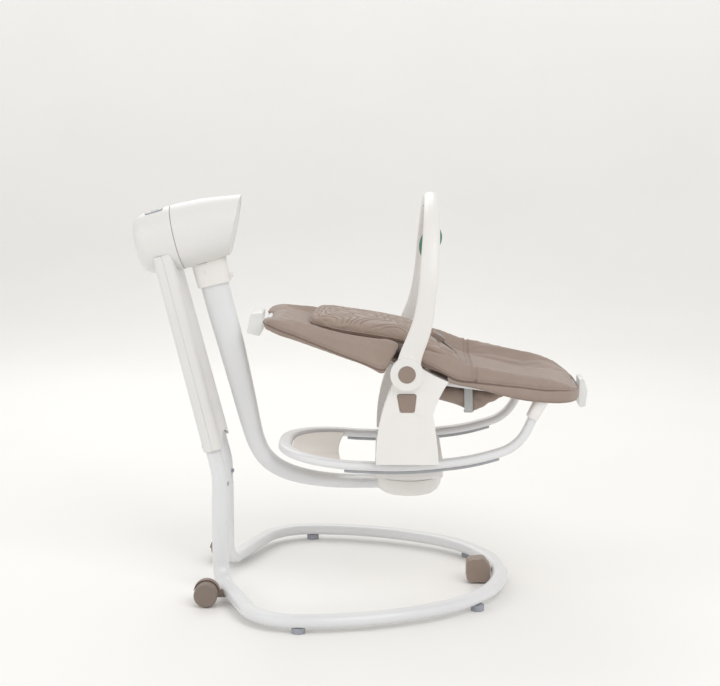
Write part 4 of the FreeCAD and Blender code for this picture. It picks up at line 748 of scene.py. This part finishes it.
def feather(p):
    """Quilted lines like the grain of long curved leaves, 0 in the channel and 1 on the ridge."""
    x, y = p[:, 0], p[:, 1]
    along = np.cos(math.pi * x / 78 + 0.9 * np.sin(math.pi * y / 88))
    across = np.cos(math.pi * (y + 14) / 104 + 0.5 * np.sin(x / 41))
    field = 3.6 * (along * across) + x / 19 + y / 60
    vein = np.abs(np.sin(field * math.pi / 2 * 1.25))
    return np.clip(vein * 1.25, 0, 1) ** 0.6


def build_insert():
    """One quilted pad over both sections."""
    rings = []
    stations = [-206, -203, -197, -188, -175, *range(-155, -29, 25), -10, 10, *range(25, 101, 15)]
    stations += [112, 121, 126]
    for x in stations:
        half = float(INSERT_HALF(x))
        top, low = float(INSERT_TOP(x)), float(INSERT_LOW(x))
        middle, rise = (top + low) / 2, (top - low) / 2
        ring = []
        for k in range(32):
            a = 2 * math.pi * k / 32
            c, s = math.cos(a), math.sin(a)
            y = math.copysign(abs(c) ** 0.55, c) * half
            z = middle + math.copysign(abs(s) ** 0.75, s) * rise
            ring.append(at(x, y, z))
        rings.append(ring)
    item = lofted("seat_insert_pad", rings)
    remesh(item, INSERT_VOXEL)
    inflate(item, lambda p: np.clip((INSERT_LOW(p[:, 0]) + 6 - p[:, 2]) / 6, 0, 1), 2.5, 0.003, 14)
    subdivide(item, 2)
    p = local(points_of(item))
    no = normals_of(item)
    up = np.clip(no[:, 2] * 1.4, 0, 1)
    side = np.clip((np.abs(p[:, 1]) - INSERT_HALF(p[:, 0]) + 16) / 14, 0, 1)
    quilt = (feather(p) - 1.0) * 4.2 * np.clip(up + 0.25, 0, 1) * (1 - 0.75 * side)
    set_points(item, points_of(item) + no * (quilt * MM)[:, None])
    item.data.materials.append(INSERT)
    edge = []
    for x in np.linspace(-196, 118, 100):
        edge.append(at(x, -float(INSERT_HALF(x)), float(INSERT_LOW(x)) * 0.62 + float(INSERT_TOP(x)) * 0.38))
    far = [Vector((q.x, -q.y, q.z)) for q in edge[::-1]]
    run = softened(snapped(edge + far, item, 0.0003), 3)
    bead = cord_mesh("insert_piping", run, 0.0013, INSERT, closed=True)
    whole = join("seat_insert_pad", [item, bead])
    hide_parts("back_insert", "seat_insert")
    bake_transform(whole)
    return whole


def build_sling():
    """The cover's plain cloth between the two padded sections, over the hip joint."""
    line = table([(-58, 26), (-30, 12), (0, 0), (30, -2), (60, -2)])
    rings = []
    for x in np.linspace(-58, 60, 24):
        z = float(line(x))
        ring = []
        for y in np.linspace(-154, 154, 29):
            ring.append(at(x, y, z + 12 * abs(y / 154) ** 6))
        rings.append(ring)
    item = lofted("seat_sling", rings, FABRIC, closed=False)
    solid = item.modifiers.new("thickness", "SOLIDIFY")
    solid.thickness = 0.004
    apply_modifiers(item)
    subdivide(item)
    creases(item, lambda p: smooth_noise(p, 0.06, 3), 1.0)
    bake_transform(item)
    return item


# ---------------------------------------------------------------- pouch, straps, harness

def build_pouch():
    """The slack pocket under the leg section."""
    top = table([(52, -30), (90, -34), (140, -40), (205, -48)])
    low = table([(52, -66), (90, -77), (122, -88), (140, -97.5), (150, -96), (168, -84), (205, -62)])
    rings = []
    for x in [52, 62, 76, 90, 104, 116, 127, 136, 142, 148, 156, 168, 184, 198, 205]:
        a, b = float(top(x)) - 1, float(low(x)) + 1.5
        ring = []
        for k in range(24):
            angle = 2 * math.pi * k / 24
            c, s = math.cos(angle), math.sin(angle)
            z = (a + b) / 2 + math.copysign(abs(s) ** 0.5, s) * (a - b) / 2
            ring.append(at(x, math.copysign(abs(c) ** 0.3, c) * 147, z))
        rings.append(ring)
    item = lofted("under_seat_pocket", rings)
    remesh(item, COVER_VOXEL)
    inflate(item, lambda p: np.clip((p[:, 2] - top(p[:, 0]) + 8) / 6, 0, 1), 1.5, 0.004, 14)
    subdivide(item)

    def folds(p):
        return np.sin(p[:, 0] * 0.16 + p[:, 2] * 0.22) * 0.6 + smooth_noise(p, 0.05, 21) * 0.8

    creases(item, folds, 1.3)
    item.data.materials.append(FABRIC)
    rib = []
    for y in np.linspace(-146, 146, 60):
        rib.append(at(141, y, -98))
    bead = cord_mesh("pocket_piping", softened(snapped(rib, item, 0.0008), 2), 0.0022, FABRIC)
    parts = [item, bead]
    for sign in (-1, 1):
        path = [(129, 150.5, -30), (129.5, 151.5, -45), (130, 152, -62), (130.5, 151, -82), (131, 144, -94),
                (131, 128, -96), (131, 100, -95)]
        rings = []
        for x, y, z in path:
            rings.append([at(x + dx, sign * y, z) for dx in (-9, -4, 4, 9)])
        strap = lofted("pocket_strap", rings, STRAP, closed=False)
        solid = strap.modifiers.new("thickness", "SOLIDIFY")
        solid.thickness = 0.0014
        solid.offset = 0
        apply_modifiers(strap)
        subdivide(strap, 2)
        parts.append(strap)
    whole = join("under_seat_pocket", parts)
    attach(whole, "rocker")
    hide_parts("under_seat_pouch")
    return whole


def build_harness():
    """Waist straps and crotch strap in place of the CAD's flat ones."""
    pieces = []
    for sign in (-1, 1):
        path = [(66, 19, 44), (62, 32, 43), (56, 48, 42), (50, 66, 41), (44, 84, 39), (38, 98, 36)]
        rings = []
        for i, (x, y, z) in enumerate(path):
            twist = 1.5 * math.sin(i * 1.1)
            edges = ((-9, 5.5 + twist), (-3, 2.6), (3, -0.9), (9, -4.6 - twist))
            rings.append([at(x + dx, sign * y, z + dz) for dx, dz in edges])
        pieces.append(lofted("waist_strap", rings, HARNESS, closed=False))
    rings = []
    for x, z in ((72, 44), (84, 34), (94, 26), (104, 17), (112, 10)):
        rings.append([at(x, -15, z), at(x, -5, z + 0.4), at(x, 5, z + 0.4), at(x, 15, z)])
    pieces.append(lofted("crotch_strap", rings, HARNESS, closed=False))
    for piece in pieces:
        solid = piece.modifiers.new("thickness", "SOLIDIFY")
        solid.thickness = CLOTH_THICK
        solid.offset = 0
        apply_modifiers(piece)
        subdivide(piece, 2)
    whole = join("harness_webbing", pieces)
    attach(whole, "rocker")
    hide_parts("harness_straps")
    return whole


# ---------------------------------------------------------------- leaf toy

def build_toy():
    """Two plush leaves on thin loops under one tab."""
    low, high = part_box("leaf_toy")
    middle_x = (low.x + high.x) / 2
    header_z = high.z - 0.0044
    parts = []
    for dx, y, top, length, wide, seed in ((-0.012, 0.006, header_z - 0.057, 0.066, 0.025, 1),
                                           (0.012, -0.008, header_z - 0.041, 0.056, 0.025, 2)):
        rings = []
        for i in range(15):
            t = (i + 0.15) / 14.3
            half = wide / 2 * math.sin(math.pi * t) ** 0.75 + 0.0004
            depth = 0.0045 * math.sin(math.pi * t) ** 0.6 + 0.0004
            ring = []
            for k in range(20):
                a = 2 * math.pi * k / 20
                vein = 1 - 0.28 * math.exp(-(math.cos(a) / 0.16) ** 2)
                rib = 1 + 0.1 * math.sin(t * 40 - abs(math.cos(a)) * 7)
                bulge = math.sin(a) * depth * vein * rib
                ring.append(Vector((middle_x + dx + math.cos(a) * half, y + bulge, top - length * t)))
            rings.append(ring)
        leaf = lofted("leaf", rings, LEAF)
        subdivide(leaf)
        parts.append(leaf)
        loop = [Vector((middle_x + dx, y, top + 0.001)), Vector((middle_x + dx - 0.001, y, top + 0.012)),
                Vector((middle_x + dx * 0.9, y * 0.8, top + 0.026)),
                Vector((middle_x + dx * 0.8, y * 0.7, header_z - 0.004))]
        dense = []
        for a, b in zip(loop, loop[1:]):
            dense += [a.lerp(b, t / 6) for t in range(6)]
        dense.append(loop[-1])
        parts.append(cord_mesh("toy_loop", softened(dense, 3), 0.0016, DARK_LOOP))
    tab = []
    for x in np.linspace(-0.016, 0.016, 9):
        z = header_z - 0.0035 + 0.002 * (x / 0.016) ** 2
        tab.append([Vector((middle_x + x, s * 0.0085, z)) for s in (-1, -0.4, 0.4, 1)])
    header = lofted("toy_tab", tab, DARK_LOOP, closed=False)
    solid = header.modifiers.new("thickness", "SOLIDIFY")
    solid.thickness = 0.0022
    solid.offset = 0
    apply_modifiers(header)
    subdivide(header, 2)
    parts.append(header)
    whole = join("leaf_pendant", parts)
    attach(whole, "leaf_toy")
    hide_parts("leaf_toy")
    return whole


build_leg_section()
build_back_section()
build_insert()
build_sling()
build_pouch()
build_harness()
build_toy()


# ---------------------------------------------------------------- floor, light and camera

PAPER = linear(247, 246, 244)


def stage():
    """A sweep of pale paper: level floor, a wide curve behind the object, and an upright back."""
    floor_end, sweep = 3.0, 2.5
    profile = [(-9.0, 0.0), (floor_end, 0.0)]
    profile += [(floor_end + sweep * math.sin(a), sweep - sweep * math.cos(a))
                for a in np.linspace(0.1, math.pi / 2, 14)]
    profile.append((floor_end + sweep, 9.0))
    rows = [[Vector((x, y, z)) for x in (-12, 12)] for y, z in profile]
    ground = lofted("ground", rows, closed=False)
    n = Nodes("ground")
    n.set("Base Color", n.ramp(n.noise(1.5, 2.0), linear(246, 245, 243), linear(248, 247, 245)))
    n.set("Roughness", 0.9)
    n.set("Specular IOR Level", 0.1)
    # the backdrop's own light grows with height, which keeps it even behind the object
    height = n.add("ShaderNodeSeparateXYZ")
    n.link(n.coordinate, height.inputs[0])
    lift = n.add("ShaderNodeMapRange")
    lift.inputs["From Min"].default_value = 0.15
    lift.inputs["From Max"].default_value = 2.6
    lift.inputs["To Min"].default_value = 0.0
    lift.inputs["To Max"].default_value = 0.22
    n.link(height.outputs["Z"], lift.inputs["Value"])
    n.set("Emission Color", linear(248, 247, 245))
    n.set("Emission Strength", lift.outputs["Result"])
    ground.data.materials.append(n.material)
    world = bpy.data.worlds.new("studio")
    scene.world = world
    world.use_nodes = True
    background = world.node_tree.nodes["Background"]
    background.inputs["Color"].default_value = PAPER
    background.inputs["Strength"].default_value = 0.78
    for name, place, target, size, power in (
            ("key", (1.6, -2.6, 3.2), (0, 0, 0.4), 2.4, 46),
            ("fill", (-3.0, -1.4, 2.0), (0, 0, 0.4), 2.5, 16),
            ("back", (-0.6, 2.6, 2.6), (0, 0, 0.5), 2.2, 24)):
        data = bpy.data.lights.new(name, "AREA")
        data.energy = power
        data.size = size
        lamp = bpy.data.objects.new(name, data)
        lamp.location = place
        lamp.rotation_euler = (Vector(target) - Vector(place)).to_track_quat("-Z", "Y").to_euler()
        scene.collection.objects.link(lamp)


CAMERA_PLACE = (0.046, -3.444, 1.0788)
CAMERA_YAW = math.radians(-0.8)
CAMERA_PITCH = math.radians(8.921)


def camera():
    """A long lens on the near side, above the object and looking slightly down."""
    data = bpy.data.cameras.new("camera")
    data.sensor_width = 36.0
    data.lens = 80.0
    item = bpy.data.objects.new("camera", data)
    level = math.cos(CAMERA_PITCH)
    look = Vector((math.sin(CAMERA_YAW) * level, math.cos(CAMERA_YAW) * level, -math.sin(CAMERA_PITCH)))
    item.location = CAMERA_PLACE
    item.rotation_euler = look.to_track_quat("-Z", "Y").to_euler()
    scene.collection.objects.link(item)
    scene.camera = item


stage()
camera()
